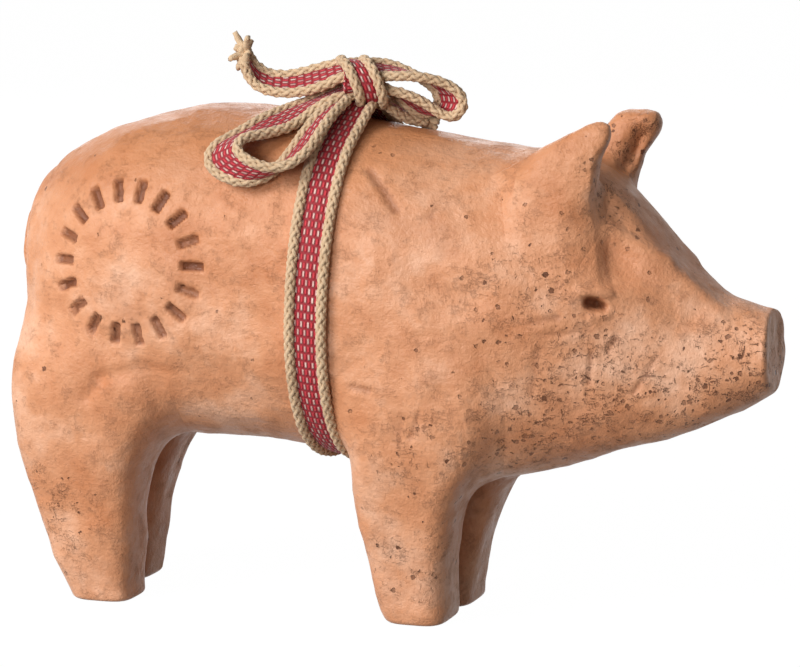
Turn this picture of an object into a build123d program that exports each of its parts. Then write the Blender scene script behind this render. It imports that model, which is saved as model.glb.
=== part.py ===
from build123d import *
import os
from math import cos, copysign, pi, radians, sin, tan

# A hand-built clay pig that stands on four feet, with a corded ribbon tied round it in a bow.
#
# The pig's snout points along +X, +Z is up, and its right side faces -Y.
# The origin is on the ground under the middle of the pig.
# The trunk and head are one lofted roll of clay.
# The legs, ears and tail are separate pieces luted onto it, so each ends on the trunk's skin.
# The ribbon is a woven tape with a braided cord sewn along each of its edges.
# All lengths are in millimetres.

# Clay pig
PIG_LENGTH = 166.8  # tail to snout
BACK_HEIGHT = 106.6  # ground to the highest point of the back
BODY_WIDTH = 55.0  # widest part of the trunk
SNOUT_ROUNDING = 1.6
EYE_DIAMETER = 2.8
EYE_DEPTH = 2.2
HIP_HEIGHT = 66.0  # ground to the top of a leg's root, inside the trunk
FOOT_LENGTH = 14.6
FOOT_ROUNDING = 0.9
REAR_STAGGER = 5.0  # how far the left rear foot stands behind the right one
REAR_LEAN = 5.0  # how far the left rear leg leans forward, at the hip
FRONT_LEAN = 10.0  # how far the left front leg leans forward, at the hip
EAR_RISE = 7.7  # from the top of the head to the tip of an ear
EAR_ROOT_DEPTH = 13.3  # from the top of the head to an ear's root, inside it
EAR_LENGTH = 22.0  # along the head, at the root
EAR_WIDTH = 14.0  # across the head, at the root
EAR_TIP_SPREAD = 29.0  # from one ear tip to the other
EAR_ROOT_SPREAD = 21.0
EAR_LEAN = 10.0  # how far the tip stands forward of the root
EAR_STAGGER = 3.0  # how far the left ear stands ahead of the right one
EAR_TIP_ROUNDING = 0.6
EAR_HOLLOW_RADIUS = 9.0
EAR_HOLLOW_DEPTH = 1.6
TAIL_LENGTH = 15.5
TAIL_WIDTH = 6.0
TAIL_THICKNESS = 2.6
TAIL_ROOT = 6.0  # how far the tail's strip reaches in, to meet the rounded rump

# How full the rounded sections are: 2 is an ellipse, and more is squarer
TRUNK_FULLNESS = 2.3
LEG_FULLNESS = 3.6
SECTION_POINTS = 16

# Trunk sections from rump to snout, each as shares: the place along the trunk,
# the top and the bottom as shares of the back's height, and half the width as a share of the body's
TRUNK_SHARES = (
    (0.000, 0.760, 0.575, 0.080),
    (0.012, 0.826, 0.460, 0.236),
    (0.039, 0.876, 0.394, 0.345),
    (0.093, 0.936, 0.352, 0.436),
    (0.189, 0.990, 0.338, 0.491),
    (0.320, 1.000, 0.335, 0.500),
    (0.446, 0.985, 0.320, 0.495),
    (0.566, 0.955, 0.296, 0.476),
    (0.662, 0.938, 0.284, 0.436),
    (0.734, 0.931, 0.310, 0.382),
    (0.793, 0.880, 0.343, 0.324),
    (0.841, 0.793, 0.366, 0.269),
    (0.889, 0.706, 0.390, 0.224),
    (0.931, 0.660, 0.419, 0.193),
    (0.967, 0.648, 0.449, 0.176),
    (1.000, 0.640, 0.482, 0.169),
)
EYE_PLACE_SHARE = 0.787  # along the trunk
EYE_HEIGHT_SHARE = 0.653  # of the back's height

# Leg sections from the foot up, each as shares: the height as a share of the hip's,
# the rear and front edge as shares of the foot's length, and the outer and inner face of half the body
REAR_LEG_SHARES = (
    (0.00, -0.52, 0.40, 0.655, 0.140),
    (0.17, -0.87, 0.45, 0.715, 0.140),
    (0.30, -1.04, 0.50, 0.770, 0.145),
    (0.43, -1.20, 0.64, 0.830, 0.155),
    (0.56, -1.29, 0.88, 0.880, 0.170),
    (0.76, -1.27, 1.00, 0.890, 0.200),
    (1.00, -0.85, 0.80, 0.660, 0.280),
)
FRONT_LEG_SHARES = (
    (0.00, -0.45, 0.44, 0.655, 0.030),
    (0.10, -0.60, 0.46, 0.680, 0.030),
    (0.23, -0.74, 0.49, 0.720, 0.035),
    (0.38, -0.84, 0.64, 0.790, 0.045),
    (0.53, -0.85, 0.96, 0.860, 0.080),
    (0.76, -0.86, 1.20, 0.900, 0.160),
    (1.00, -0.50, 0.90, 0.700, 0.280),
)
REAR_FOOT_SHARE = 0.139  # middle of a rear foot, along the pig from the tail
EAR_PLACE_SHARE = 0.731  # middle of an ear's root, along the pig from the tail
TAIL_TOP_SHARE = 0.790  # top of the tail, of the back's height

# Ear sections from root to tip: the place up the ear, its size as a share of the root's,
# and how much of the lean it has reached
EAR_SHARES = ((0.0, 1.0, 0.0), (0.5, 0.68, 0.28), (0.82, 0.46, 0.70), (1.0, 0.28, 1.0))

# Ribbon
TAPE_WIDTH = 4.4  # woven tape between the two cords
TAPE_THICKNESS = 0.9
CORD_DIAMETER = 2.4
SEAM_CLEARANCE = 0.05  # between the tape's edge and the cord sewn to it
CLOTH_CLEARANCE = 0.3  # between the ribbon and the clay that it lies on
LEG_CLEARANCE = 0.3  # between the ribbon's turn round the body and a front leg
WRAP_PLACE_SHARE = 0.4485  # middle of the ribbon's turn round the body, along the trunk
WRAP_TILT = 1.5  # degrees that the turn leans forward at the top
WRAP_CORNER_COUNT = 24  # corners of the polygon that a cord's turn is rounded from

# Knot of the bow, which sits on the ribbon's turn at the top of the back
KNOT_LENGTH = 8.0  # along the bow
KNOT_WIDTH = 9.4
KNOT_HEIGHT = 5.2
KNOT_TAPE_WIDTH = 2.5  # the tape is bunched where it goes round the knot
KNOT_TURN = 24.0  # degrees that the bow is turned from the pig's own line
KNOT_SHIFT = 1.5  # towards the pig's right side
KNOT_CORNER_COUNT = 16  # corners of the polygon that a cord's turn round the knot is rounded from

# Free stretches of the bow. Each has the routes of its near and its far cord, seen from the
# pig's right, as points in millimetres from the knot's middle, and the tape spans the two.
BOW_ROUTES = {
    "near_loop": dict(
        near=((-0.9, -6, -3.2), (-1.5, -11.5, -5), (-2.5, -17.5, -8.5), (-3.5, -22.5, -12.5),
              (-6.5, -26, -15.5), (-11, -27.5, -16), (-15.5, -27, -14.5), (-18.6, -25.8, -12.4),
              (-17.9, -22.8, -10.2), (-14.4, -18.2, -9.8), (-10.5, -13, -8.5), (-8.5, -9.5, -5.5),
              (-6, -7, -2.4), (-2.2, -3.6, -1.2)),
        far=((-2.6, -2.6, -3.6), (-3.4, -8, -4.6), (-6, -13.5, -8), (-8.8, -18.5, -13),
             (-11.5, -22.8, -17.8), (-16, -25.2, -19.5), (-21, -25.6, -18.6), (-25.5, -24.2, -15.8),
             (-25, -21.8, -12.2), (-21, -17.6, -9.8), (-17.5, -11.8, -6.9), (-14.6, -6.2, -5.5),
             (-10.4, -2, -3.8), (-4, 1.2, -0.2)),
    ),
    "right_loop": dict(
        near=((4.2, -1.8, 1.4), (8, -1.5, 1.6), (12.5, -0.5, 1.6), (16.8, 1.1, 0.6), (19.8, 2.5, -1.2),
              (21.4, 3.2, -3.8), (20.9, 3.5, -6.4), (18.4, 3.2, -7.7), (15, 2.4, -6.8),
              (11.5, 0.5, -4.8), (8, -0.8, -2.8), (4.2, -1.6, -1.2)),
        far=((1.8, 4, 4), (5, 4.6, 3.6), (8.6, 5.2, 2.2), (12, 5.6, 0.8), (14.4, 6, -0.6),
             (16, 6.4, -2.7), (15.6, 6.6, -5.2), (13.4, 6.6, -6.6), (10.8, 6.2, -6.1),
             (8.2, 5.6, -4.6), (5.4, 4.9, -2.5), (2, 4.2, -0.2)),
    ),
    "upper_tail": dict(
        near=((-2, -3.8, 1.9), (-6.5, -4.5, -0.6), (-12, -5.2, -2.2), (-17.5, -5.8, -2.2),
              (-21.5, -6.2, -0.8), (-23.2, -6.6, 1.8), (-23.8, -6.8, 3.8)),
        far=((-4.2, 0.8, 4), (-9, 0.2, 3), (-13.5, -0.8, 1.6), (-18.5, -1.6, 1),
             (-22, -2.2, 2.4), (-24, -2.6, 4.6), (-24.8, -2.8, 6.4)),
    ),
    "lower_tail": dict(
        near=((3.6, -0.4, -3.2), (6, 2.2, -5.6), (8.6, 5, -7.9), (11.8, 7.6, -9.1), (15, 9.4, -9.6)),
        far=((1.9, 4, -3.2), (4.2, 7.6, -4.8), (7.5, 10.2, -6.6), (11, 12.2, -8), (14, 13.8, -9.2)),
    ),
}

TRUNK_REAR = -PIG_LENGTH / 2 + TAIL_THICKNESS
TRUNK_LENGTH = PIG_LENGTH / 2 - TRUNK_REAR
CORD_RADIUS = CORD_DIAMETER / 2
RIBBON_PITCH = TAPE_WIDTH / 2 + SEAM_CLEARANCE + CORD_RADIUS  # ribbon's middle to a cord's


def rounded(angle, half_across, half_up, fullness):
    """A point of a superellipse: each axis is |cos| or |sin| raised to 2 / fullness."""
    across = copysign(abs(cos(angle)) ** (2 / fullness), cos(angle))
    up = copysign(abs(sin(angle)) ** (2 / fullness), sin(angle))
    return across * half_across, up * half_up


def section(plane, half_across, half_up, fullness):
    """A smooth closed face through points of a superellipse."""
    angles = [2 * pi * step / SECTION_POINTS for step in range(SECTION_POINTS)]
    points = [rounded(angle, half_across, half_up, fullness) for angle in angles]
    return plane * make_face(Spline(*points, periodic=True))


def trunk_size(x):
    """Top, bottom and half width of the trunk at x, between the sections of the table."""
    place = (x - TRUNK_REAR) / TRUNK_LENGTH
    for near, far in zip(TRUNK_SHARES, TRUNK_SHARES[1:]):
        if place <= far[0]:
            break
    part = (place - near[0]) / (far[0] - near[0])
    top, bottom, half = (a + (b - a) * part for a, b in zip(near[1:], far[1:]))
    return top * BACK_HEIGHT, bottom * BACK_HEIGHT, half * BODY_WIDTH


def make_trunk():
    """The body and head: one loft from the rump to the snout, with a pit for each eye."""
    sections = []
    for place, top, bottom, half in TRUNK_SHARES:
        middle = (TRUNK_REAR + place * TRUNK_LENGTH, 0, (top + bottom) / 2 * BACK_HEIGHT)
        plane = Plane(origin=middle, x_dir=(0, 1, 0), z_dir=(1, 0, 0))
        half_up = (top - bottom) / 2 * BACK_HEIGHT
        sections.append(section(plane, half * BODY_WIDTH, half_up, TRUNK_FULLNESS))
    trunk = loft(sections)
    snout = trunk.faces().sort_by(Axis.X)[-1]
    trunk = fillet(snout.edges(), SNOUT_ROUNDING)
    eye_x = TRUNK_REAR + EYE_PLACE_SHARE * TRUNK_LENGTH
    half = trunk_size(eye_x)[2]
    for side in (-1, 1):
        mouth = Plane(
            origin=(eye_x, side * (half - EYE_DEPTH), EYE_HEIGHT_SHARE * BACK_HEIGHT),
            z_dir=(0, side, 0),
        )
        trunk -= extrude(mouth * Circle(EYE_DIAMETER / 2), BODY_WIDTH / 2)
    return trunk


def make_leg(shares, foot_x, lean, side, trunk):
    """A tapering leg from its flat foot up into the trunk, cut off along the trunk's skin."""
    half_body = BODY_WIDTH / 2
    sections = []
    for height, rear, front, outer, inner in shares:
        middle = (
            foot_x + (rear + front) / 2 * FOOT_LENGTH + lean * height,
            side * (outer + inner) / 2 * half_body,
            height * HIP_HEIGHT,
        )
        half_long = (front - rear) / 2 * FOOT_LENGTH
        half_wide = (outer - inner) / 2 * half_body
        sections.append(section(Plane(origin=middle), half_long, half_wide, LEG_FULLNESS))
    leg = loft(sections)
    sole = leg.faces().sort_by(Axis.Z)[0]
    leg = fillet(sole.edges(), FOOT_ROUNDING)
    return largest(leg - trunk)


def largest(shape):
    """The biggest solid of a cut: slivers on the far side of the cutter are dropped."""
    return max(shape.solids(), key=lambda solid: solid.volume)


def make_ear(root_x, head_top, side, trunk):
    """A thick pinched ear, leaning forward and out, hollowed on its inner front."""
    root = Vector(root_x, side * EAR_ROOT_SPREAD / 2, head_top - EAR_ROOT_DEPTH)
    tip = Vector(root_x + EAR_LEAN, side * EAR_TIP_SPREAD / 2, head_top + EAR_RISE)
    sections = []
    for place, size, lean in EAR_SHARES:
        rise = tip - root
        plane = Plane(origin=root + Vector(rise.X * lean, rise.Y * place, rise.Z * place))
        half_long = EAR_LENGTH / 2 * size
        half_wide = EAR_WIDTH / 2 * size
        sections.append(section(plane, half_long, half_wide, TRUNK_FULLNESS))
    ear = loft(sections)
    crown = ear.faces().sort_by(Axis.Z)[-1]
    ear = fillet(crown.edges(), EAR_TIP_ROUNDING)
    facing = Vector(1, -side, 0).normalized()
    middle = (root + tip) / 2
    reach = EAR_WIDTH / 2 * EAR_SHARES[1][1] - EAR_HOLLOW_DEPTH + EAR_HOLLOW_RADIUS
    hollow = middle + facing * reach
    ear -= Pos(hollow.X, hollow.Y, hollow.Z) * Sphere(EAR_HOLLOW_RADIUS)
    return largest(ear - trunk)


def make_tail(trunk):
    """A flat strip of clay that lies down the middle of the rump."""
    half_long = TAIL_LENGTH / 2
    height = BACK_HEIGHT * TAIL_TOP_SHARE - half_long
    seat = Plane(origin=(TRUNK_REAR + TAIL_ROOT, 0, height), x_dir=(0, -1, 0), z_dir=(-1, 0, 0))
    strip = section(seat, TAIL_WIDTH / 2, half_long, TRUNK_FULLNESS)
    tail = extrude(strip, TAIL_ROOT + TAIL_THICKNESS)
    back = tail.faces().sort_by(Axis.X)[0]
    tail = fillet(back.edges(), TAIL_THICKNESS / 2)
    return largest(tail - trunk)


def wrap_plane(offset):
    """The leaning plane of the ribbon's turn, moved by offset across the ribbon,
    with half the width and half the height of the trunk in it."""
    lean = radians(WRAP_TILT)
    x = TRUNK_REAR + WRAP_PLACE_SHARE * TRUNK_LENGTH + offset * cos(lean)
    top, bottom, half = trunk_size(x)
    reach = (top - bottom) / 2 * sin(lean)
    top = trunk_size(x + reach)[0]
    bottom = trunk_size(x - reach)[1]
    plane = Plane(
        origin=(x, 0, (top + bottom) / 2), x_dir=(0, 1, 0), z_dir=(cos(lean), 0, -sin(lean))
    )
    return plane, half, (top - bottom) / 2 / cos(lean)


def make_wrap_tape():
    """The tape's turn round the body, drawn tight on the clay."""
    skins = []
    for rise in (CLOTH_CLEARANCE + TAPE_THICKNESS, CLOTH_CLEARANCE):
        edges = []
        for offset in (-TAPE_WIDTH / 2, TAPE_WIDTH / 2):
            plane, half, half_up = wrap_plane(offset)
            edges.append(section(plane, half + rise, half_up + rise, TRUNK_FULLNESS))
        skins.append(loft(edges, ruled=True))
    outer, inner = skins
    return outer - inner


def corner_radii(points, closed):
    """For each corner the largest arc that leaves a tenth of the shorter run straight."""
    ends = [Vector(*point) for point in points]
    if closed:
        ends = [ends[-1], *ends, ends[0]]
    radii = []
    for before, corner, after in zip(ends, ends[1:], ends[2:]):
        turn = radians((corner - before).get_angle(after - corner))
        shorter = min((corner - before).length, (after - corner).length)
        radii.append(0.45 * shorter / tan(turn / 2))
    return radii


def outside(corners):
    """How much larger a polygon is whose sides, not its corners, touch a curve."""
    return 1 / cos(pi / corners)


def ring(plane, half_across, half_up, fullness, corners):
    """A closed route of short runs and arcs that lies round the outside of a superellipse."""
    angles = [2 * pi * (step + 0.5) / corners for step in range(corners)]
    across = half_across * outside(corners)
    up = half_up * outside(corners)
    points = [rounded(angle, across, up, fullness) for angle in angles]
    radii = corner_radii(points, closed=True)
    return plane * FilletPolyline(*points, radius=radii, close=True)


def cord_along(route, radius=CORD_RADIUS):
    """A round cord that follows a route."""
    path = Wire(route.edges())
    start = Plane(origin=path @ 0, z_dir=path % 0)
    return sweep(start * Circle(radius), path=path)


def make_wrap_cord(side):
    """One edge cord of the ribbon's turn round the body."""
    plane, half, half_up = wrap_plane(side * RIBBON_PITCH)
    rise = CLOTH_CLEARANCE + CORD_RADIUS
    return cord_along(ring(plane, half + rise, half_up + rise, TRUNK_FULLNESS, WRAP_CORNER_COUNT))


def knot_plane():
    """The middle of the knot: across is the plane's X, up its Y, and the bow runs along its Z."""
    plane, half, half_up = wrap_plane(0)
    cord_top = (half_up + CLOTH_CLEARANCE + CORD_RADIUS) * outside(WRAP_CORNER_COUNT) + CORD_RADIUS
    ring_half = (KNOT_HEIGHT / 2 + SEAM_CLEARANCE + CORD_RADIUS) * outside(KNOT_CORNER_COUNT)
    ring_bottom = ring_half + CORD_RADIUS
    seat = plane.origin + plane.y_dir * cord_top
    turn = radians(KNOT_TURN)
    return Plane(
        origin=(seat.X, -KNOT_SHIFT, seat.Z + SEAM_CLEARANCE + ring_bottom),
        x_dir=(-sin(turn), cos(turn), 0),
        z_dir=(cos(turn), sin(turn), 0),
    )


def make_knot():
    """The gathered core of the knot, and the tape and two cords that go round it."""
    middle = knot_plane()
    core_face = section(middle, KNOT_WIDTH / 2, KNOT_HEIGHT / 2, TRUNK_FULLNESS)
    core = extrude(core_face, KNOT_LENGTH / 2, both=True)
    gap = SEAM_CLEARANCE
    outer = section(
        middle,
        KNOT_WIDTH / 2 + gap + TAPE_THICKNESS,
        KNOT_HEIGHT / 2 + gap + TAPE_THICKNESS,
        TRUNK_FULLNESS,
    )
    bore = section(middle, KNOT_WIDTH / 2 + gap, KNOT_HEIGHT / 2 + gap, TRUNK_FULLNESS)
    tape = extrude(outer - bore, KNOT_TAPE_WIDTH / 2, both=True)
    pieces = {"knot_core": core, "knot_tape": tape}
    reach = KNOT_TAPE_WIDTH / 2 + gap + CORD_RADIUS
    for name, side in (("knot_rear_cord", -1), ("knot_front_cord", 1)):
        route = ring(
            middle.offset(side * reach),
            KNOT_WIDTH / 2 + gap + CORD_RADIUS,
            KNOT_HEIGHT / 2 + gap + CORD_RADIUS,
            TRUNK_FULLNESS,
            KNOT_CORNER_COUNT,
        )
        pieces[name] = cord_along(route)
    return pieces


def make_stretch(name, near, far):
    """One free stretch of the bow: two cords, and the tape that is sewn between them."""
    middle = knot_plane().origin
    pieces = {}
    ends = []
    seams = []
    for edge, points in (("near", near), ("far", far)):
        points = [middle + Vector(*point) for point in points]
        radii = corner_radii(points, closed=False)
        print(name, edge, "cord's arc radii", [round(radius, 1) for radius in radii])
        route = FilletPolyline(*points, radius=radii)
        pieces[f"{name}_{edge}_cord"] = cord_along(route)
        ends.append(points)
        seams.append(cord_along(route, CORD_RADIUS + SEAM_CLEARANCE))
    pieces[f"{name}_tape"] = tape_between(*ends) - seams
    return pieces


def tape_between(near, far):
    """A ruled strip through the middles of the two routes' runs, which lie on both cords."""
    sections = []
    for index in range(len(near) - 1):
        start = (near[index] + near[index + 1]) / 2
        end = (far[index] + far[index + 1]) / 2
        across = end - start
        along = near[index + 1] - near[index] + far[index + 1] - far[index]
        square = along - across * (along.dot(across) / across.dot(across))
        plane = Plane(origin=(start + end) / 2, x_dir=across, z_dir=square)
        width = across.length - CORD_DIAMETER
        sections.append(plane * Rectangle(width, TAPE_THICKNESS))
    return loft(sections, ruled=True)


def make_bow():
    """The knot and the four free stretches, each cut off flat where it comes out of the knot."""
    pieces = make_knot()
    inside = extrude(
        knot_plane() * Rectangle(2 * KNOT_WIDTH, 2 * KNOT_HEIGHT), KNOT_LENGTH / 2, both=True
    )
    for name, facts in BOW_ROUTES.items():
        for node, solid in make_stretch(name, **facts).items():
            pieces[node] = largest(solid - inside)
    return pieces


def make_pig():
    """Every piece of clay, by its node's name."""
    trunk = make_trunk()
    pieces = {"trunk": trunk, "tail": make_tail(trunk)}
    start = -PIG_LENGTH / 2
    rear_x = start + REAR_FOOT_SHARE * PIG_LENGTH
    cord_front = wrap_plane(RIBBON_PITCH)[0].origin.X + CORD_RADIUS
    leg_reach = -min(row[1] for row in FRONT_LEG_SHARES) * FOOT_LENGTH
    front_x = cord_front + LEG_CLEARANCE + leg_reach
    ear_x = start + EAR_PLACE_SHARE * PIG_LENGTH
    head_top = trunk_size(ear_x)[0]
    for hand, side, is_left in (("right", -1, 0), ("left", 1, 1)):
        rear_foot = rear_x - is_left * REAR_STAGGER
        rear_lean = is_left * REAR_LEAN
        front_lean = is_left * FRONT_LEAN
        pieces[f"leg_rear_{hand}"] = make_leg(REAR_LEG_SHARES, rear_foot, rear_lean, side, trunk)
        pieces[f"leg_front_{hand}"] = make_leg(FRONT_LEG_SHARES, front_x, front_lean, side, trunk)
        pieces[f"ear_{hand}"] = make_ear(ear_x + is_left * EAR_STAGGER, head_top, side, trunk)
    return pieces


def main():
    pieces = make_pig()
    pieces["wrap_tape"] = make_wrap_tape()
    pieces["wrap_rear_cord"] = make_wrap_cord(-1)
    pieces["wrap_front_cord"] = make_wrap_cord(1)
    pieces.update(make_bow())
    os.makedirs("parts", exist_ok=True)
    for name, solid in pieces.items():
        export_step(solid, f"parts/{name}.step")
        print(name, round(solid.volume), solid.bounding_box().size)


main()
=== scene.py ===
# %% [markdown]
# # A clay pig with a ribbon tied in a bow
#
# The object is a hand-built terracotta pig. A woven ribbon with a braided cord along each edge
# goes once round its body and is tied in a bow on its back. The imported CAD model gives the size
# and the place of every piece, and this lesson gives each of them its skin: clay that shows
# fingers and tools, woven tape, and braided cord.

# %% Load the frame
import itertools
import math

import bpy
import numpy as np
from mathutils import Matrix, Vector


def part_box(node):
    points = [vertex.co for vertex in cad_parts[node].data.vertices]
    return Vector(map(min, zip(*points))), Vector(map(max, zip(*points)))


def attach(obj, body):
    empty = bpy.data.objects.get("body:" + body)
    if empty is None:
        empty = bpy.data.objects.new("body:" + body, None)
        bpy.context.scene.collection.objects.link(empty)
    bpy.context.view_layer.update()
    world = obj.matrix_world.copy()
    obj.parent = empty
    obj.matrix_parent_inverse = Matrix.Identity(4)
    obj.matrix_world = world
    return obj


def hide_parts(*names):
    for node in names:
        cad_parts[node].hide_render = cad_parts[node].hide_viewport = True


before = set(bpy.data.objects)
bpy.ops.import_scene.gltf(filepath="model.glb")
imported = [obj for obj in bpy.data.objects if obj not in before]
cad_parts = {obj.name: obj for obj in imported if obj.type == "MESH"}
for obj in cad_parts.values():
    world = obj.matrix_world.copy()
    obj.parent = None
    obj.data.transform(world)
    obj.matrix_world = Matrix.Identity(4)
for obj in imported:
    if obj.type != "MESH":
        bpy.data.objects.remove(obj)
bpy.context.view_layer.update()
MM = 0.001  # shapes are worked out in millimetres, and meshes are in metres

# %% [markdown]
# ## Camera
#
# A long lens a little above the back sees the pig from its right and slightly from the front.
# The angle, the distance and the point aimed at were solved from the feet, the snout and the
# ears.

# %% Camera
AZIMUTH, ELEVATION, DISTANCE = 18.5, 8.5, 700.0  # degrees and mm
AIM = Vector((2.0, 0.0, 59.1))
PIXELS_PER_MM, IMAGE_WIDTH, SENSOR = 4.7, 800, 36.0


def towards(azimuth, elevation):
    """Direction from the pig to a place around it, in degrees: the azimuth is counted from the pig's
    right side round to its front, and the elevation from the ground up."""
    azimuth, elevation = math.radians(azimuth), math.radians(elevation)
    level = math.cos(elevation)
    return Vector((math.sin(azimuth) * level, -math.cos(azimuth) * level, math.sin(elevation)))


back = towards(AZIMUTH, ELEVATION)
camera = bpy.data.objects.new("camera", bpy.data.cameras.new("camera"))
camera.data.sensor_width = SENSOR
camera.data.lens = SENSOR * DISTANCE * PIXELS_PER_MM / IMAGE_WIDTH
camera.location = (AIM + DISTANCE * back) * MM
camera.rotation_euler = back.to_track_quat("Z", "Y").to_euler()
bpy.context.collection.objects.link(camera)
bpy.context.scene.camera = camera
print("lens", round(camera.data.lens, 1), "mm")

# %% [markdown]
# ## Meshes from grids
#
# Nearly every piece here is a stack of rings: a trunk, a leg, an ear, a strand of yarn. Such shapes
# could be modelled by hand, but as formulas on whole numpy arrays they can be measured and changed.
# A ring is a row of points, and the faces join each point to its neighbours along and across. A
# stack that ends is closed by a fan of triangles to a middle point, and one that goes round joins
# its last ring to its first.


# %% Grid helpers
def ring_faces(rows, columns, closed):
    """Quads of a stack of rings, as pairs of row and column numbers: each face takes a point, its
    neighbour across, and the same two points in the next row."""
    row, column = np.meshgrid(np.arange(rows if closed else rows - 1), np.arange(columns), indexing="ij")
    row, column = row.ravel(), column.ravel()
    return (
        np.stack([row, row, row + 1, row + 1], axis=1),
        np.stack([column, column + 1, column + 1, column], axis=1),
    )


def mesh_of(name, points, *face_sets):
    """A smooth mesh from points in mm and arrays of faces: a row of an array is one face."""
    corners = np.concatenate([faces.ravel() for faces in face_sets]).astype(np.int32)
    sizes = np.concatenate([np.full(len(faces), faces.shape[1]) for faces in face_sets])
    starts = np.concatenate([[0], np.cumsum(sizes)[:-1]]).astype(np.int32)
    mesh = bpy.data.meshes.new(name)
    mesh.vertices.add(len(points))
    mesh.vertices.foreach_set("co", (points * MM).astype(np.float32).ravel())
    mesh.loops.add(len(corners))
    mesh.loops.foreach_set("vertex_index", corners)
    mesh.polygons.add(len(sizes))
    mesh.polygons.foreach_set("loop_start", starts)
    mesh.polygons.foreach_set("use_smooth", np.ones(len(sizes), dtype=bool))
    mesh.update(calc_edges=True)
    return mesh


def add_piece(mesh, material, slot, *nodes):
    """Puts a mesh into the scene on the part's one body, in place of the CAD nodes it stands for."""
    piece = bpy.data.objects.new(mesh.name, mesh)
    bpy.context.collection.objects.link(piece)
    mesh.materials.append(material)
    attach(piece, "root")
    if nodes:
        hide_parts(*nodes)
    print(mesh.name, len(mesh.vertices), "points")
    return piece


def stack_mesh(name, rings):
    """A stack of rings (rows, columns, 3), closed by a fan to the middle of its first and last ring."""
    rows, columns = rings.shape[:2]
    row, column = ring_faces(rows, columns, closed=False)
    quads = row * columns + column % columns
    points = np.concatenate([rings.reshape(-1, 3), rings[[0, -1]].mean(axis=1)])
    here = np.arange(columns)
    after = (here + 1) % columns
    first = np.stack([after, here, np.full(columns, rows * columns)], axis=1)
    last = np.stack([here, after, np.full(columns, rows * columns + 1)], axis=1)
    last[:, :2] += (rows - 1) * columns
    return mesh_of(name, points, quads, first, last)


def ease(value, low, high):
    """0 below low, 1 above high, and a smooth S-curve between them."""
    part = np.clip((value - low) / (high - low), 0.0, 1.0)
    return part * part * (3.0 - 2.0 * part)


# %% [markdown]
# ## Materials
#
# Colours are chosen as sRGB hex values and turned to linear ones. One small function adds a node,
# sets its values and links its sockets, so each material below reads as a list of steps from
# coordinates to shader.


# %% Material helpers
def linear(code):
    """The linear colour of an sRGB hex value."""
    parts = np.array([int(code[i:i + 2], 16) for i in (1, 3, 5)]) / 255.0
    parts = np.where(parts <= 0.04045, parts / 12.92, ((parts + 0.055) / 1.055) ** 2.4)
    return (*parts.tolist(), 1.0)


def add(tree, kind, inputs=None, **settings):
    """Adds one shader node of a kind, sets its settings, and gives each named input a value or a link."""
    made = tree.nodes.new("ShaderNode" + kind)
    for key, value in settings.items():
        setattr(made, key, value)
    for key, value in (inputs or {}).items():
        if isinstance(value, bpy.types.NodeSocket):
            tree.links.new(value, made.inputs[key])
        else:
            made.inputs[key].default_value = value
    return made


def new_material(name):
    """An empty node material with its output node."""
    made = bpy.data.materials.new(name)
    made.use_nodes = True
    made.node_tree.nodes.clear()
    return made, made.node_tree, add(made.node_tree, "OutputMaterial")


# %% [markdown]
# ### Fired terracotta
#
# Unglazed earthenware, shaped and scraped by hand and fired to a warm orange-pink. It is matte,
# with a faint burnish where it was rubbed. Paler slip lies in patches, small pits are left where
# grit dragged out, and a tool has scratched fine lines. The hollows are painted browner, as shade.
# A picture wrapped round the pig would stretch and show a seam. Noises worked out from the place
# of each point do neither, and they run on from a leg to the trunk, so they are used here.

# %% Terracotta patches and grit
# widths of the patches, spots, grains, strokes and pits, in mm
SLIP_PATCH, SMOKE_CLOUD, MOTTLE_SPOT, GRIT_GRAIN = 17.0, 26.0, 4.5, 0.8
ALONG_STROKE, UP_STROKE, DRAG_WIDTH, PIT_SPACING = 1.15, 1.0, 0.8, 1.5
# how far the mottle, the grit and the slip push a pattern aside, in mm
STROKE_WANDER, PIT_WANDER, DRAG_WANDER = 3.0, 1.3, 14.0
terracotta, tree, output = new_material("fired_terracotta_hand_scraped")
place = add(tree, "TexCoord").outputs["Object"]
in_mm = add(tree, "Mapping", {"Vector": place, "Scale": (1 / MM, 1 / MM, 1 / MM)}).outputs[0]
slip, mottle, grit, smoke = (
    add(tree, "TexNoise", {"Vector": in_mm, "Scale": 1 / width, "Detail": detail, "Roughness": rough})
    for width, detail, rough in (
        (SLIP_PATCH, 4.0, 0.62), (MOTTLE_SPOT, 5.0, 0.7), (GRIT_GRAIN, 3.0, 0.6), (SMOKE_CLOUD, 5.0, 0.65),
    )
)
strokes_at, pits_at, drags_at = (
    add(tree, "VectorMath", {
        0: noise.outputs["Color"], 1: (wander, wander, wander), 2: in_mm,
    }, operation="MULTIPLY_ADD").outputs[0]
    for noise, wander in ((mottle, STROKE_WANDER), (grit, PIT_WANDER), (slip, DRAG_WANDER))
)
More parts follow.
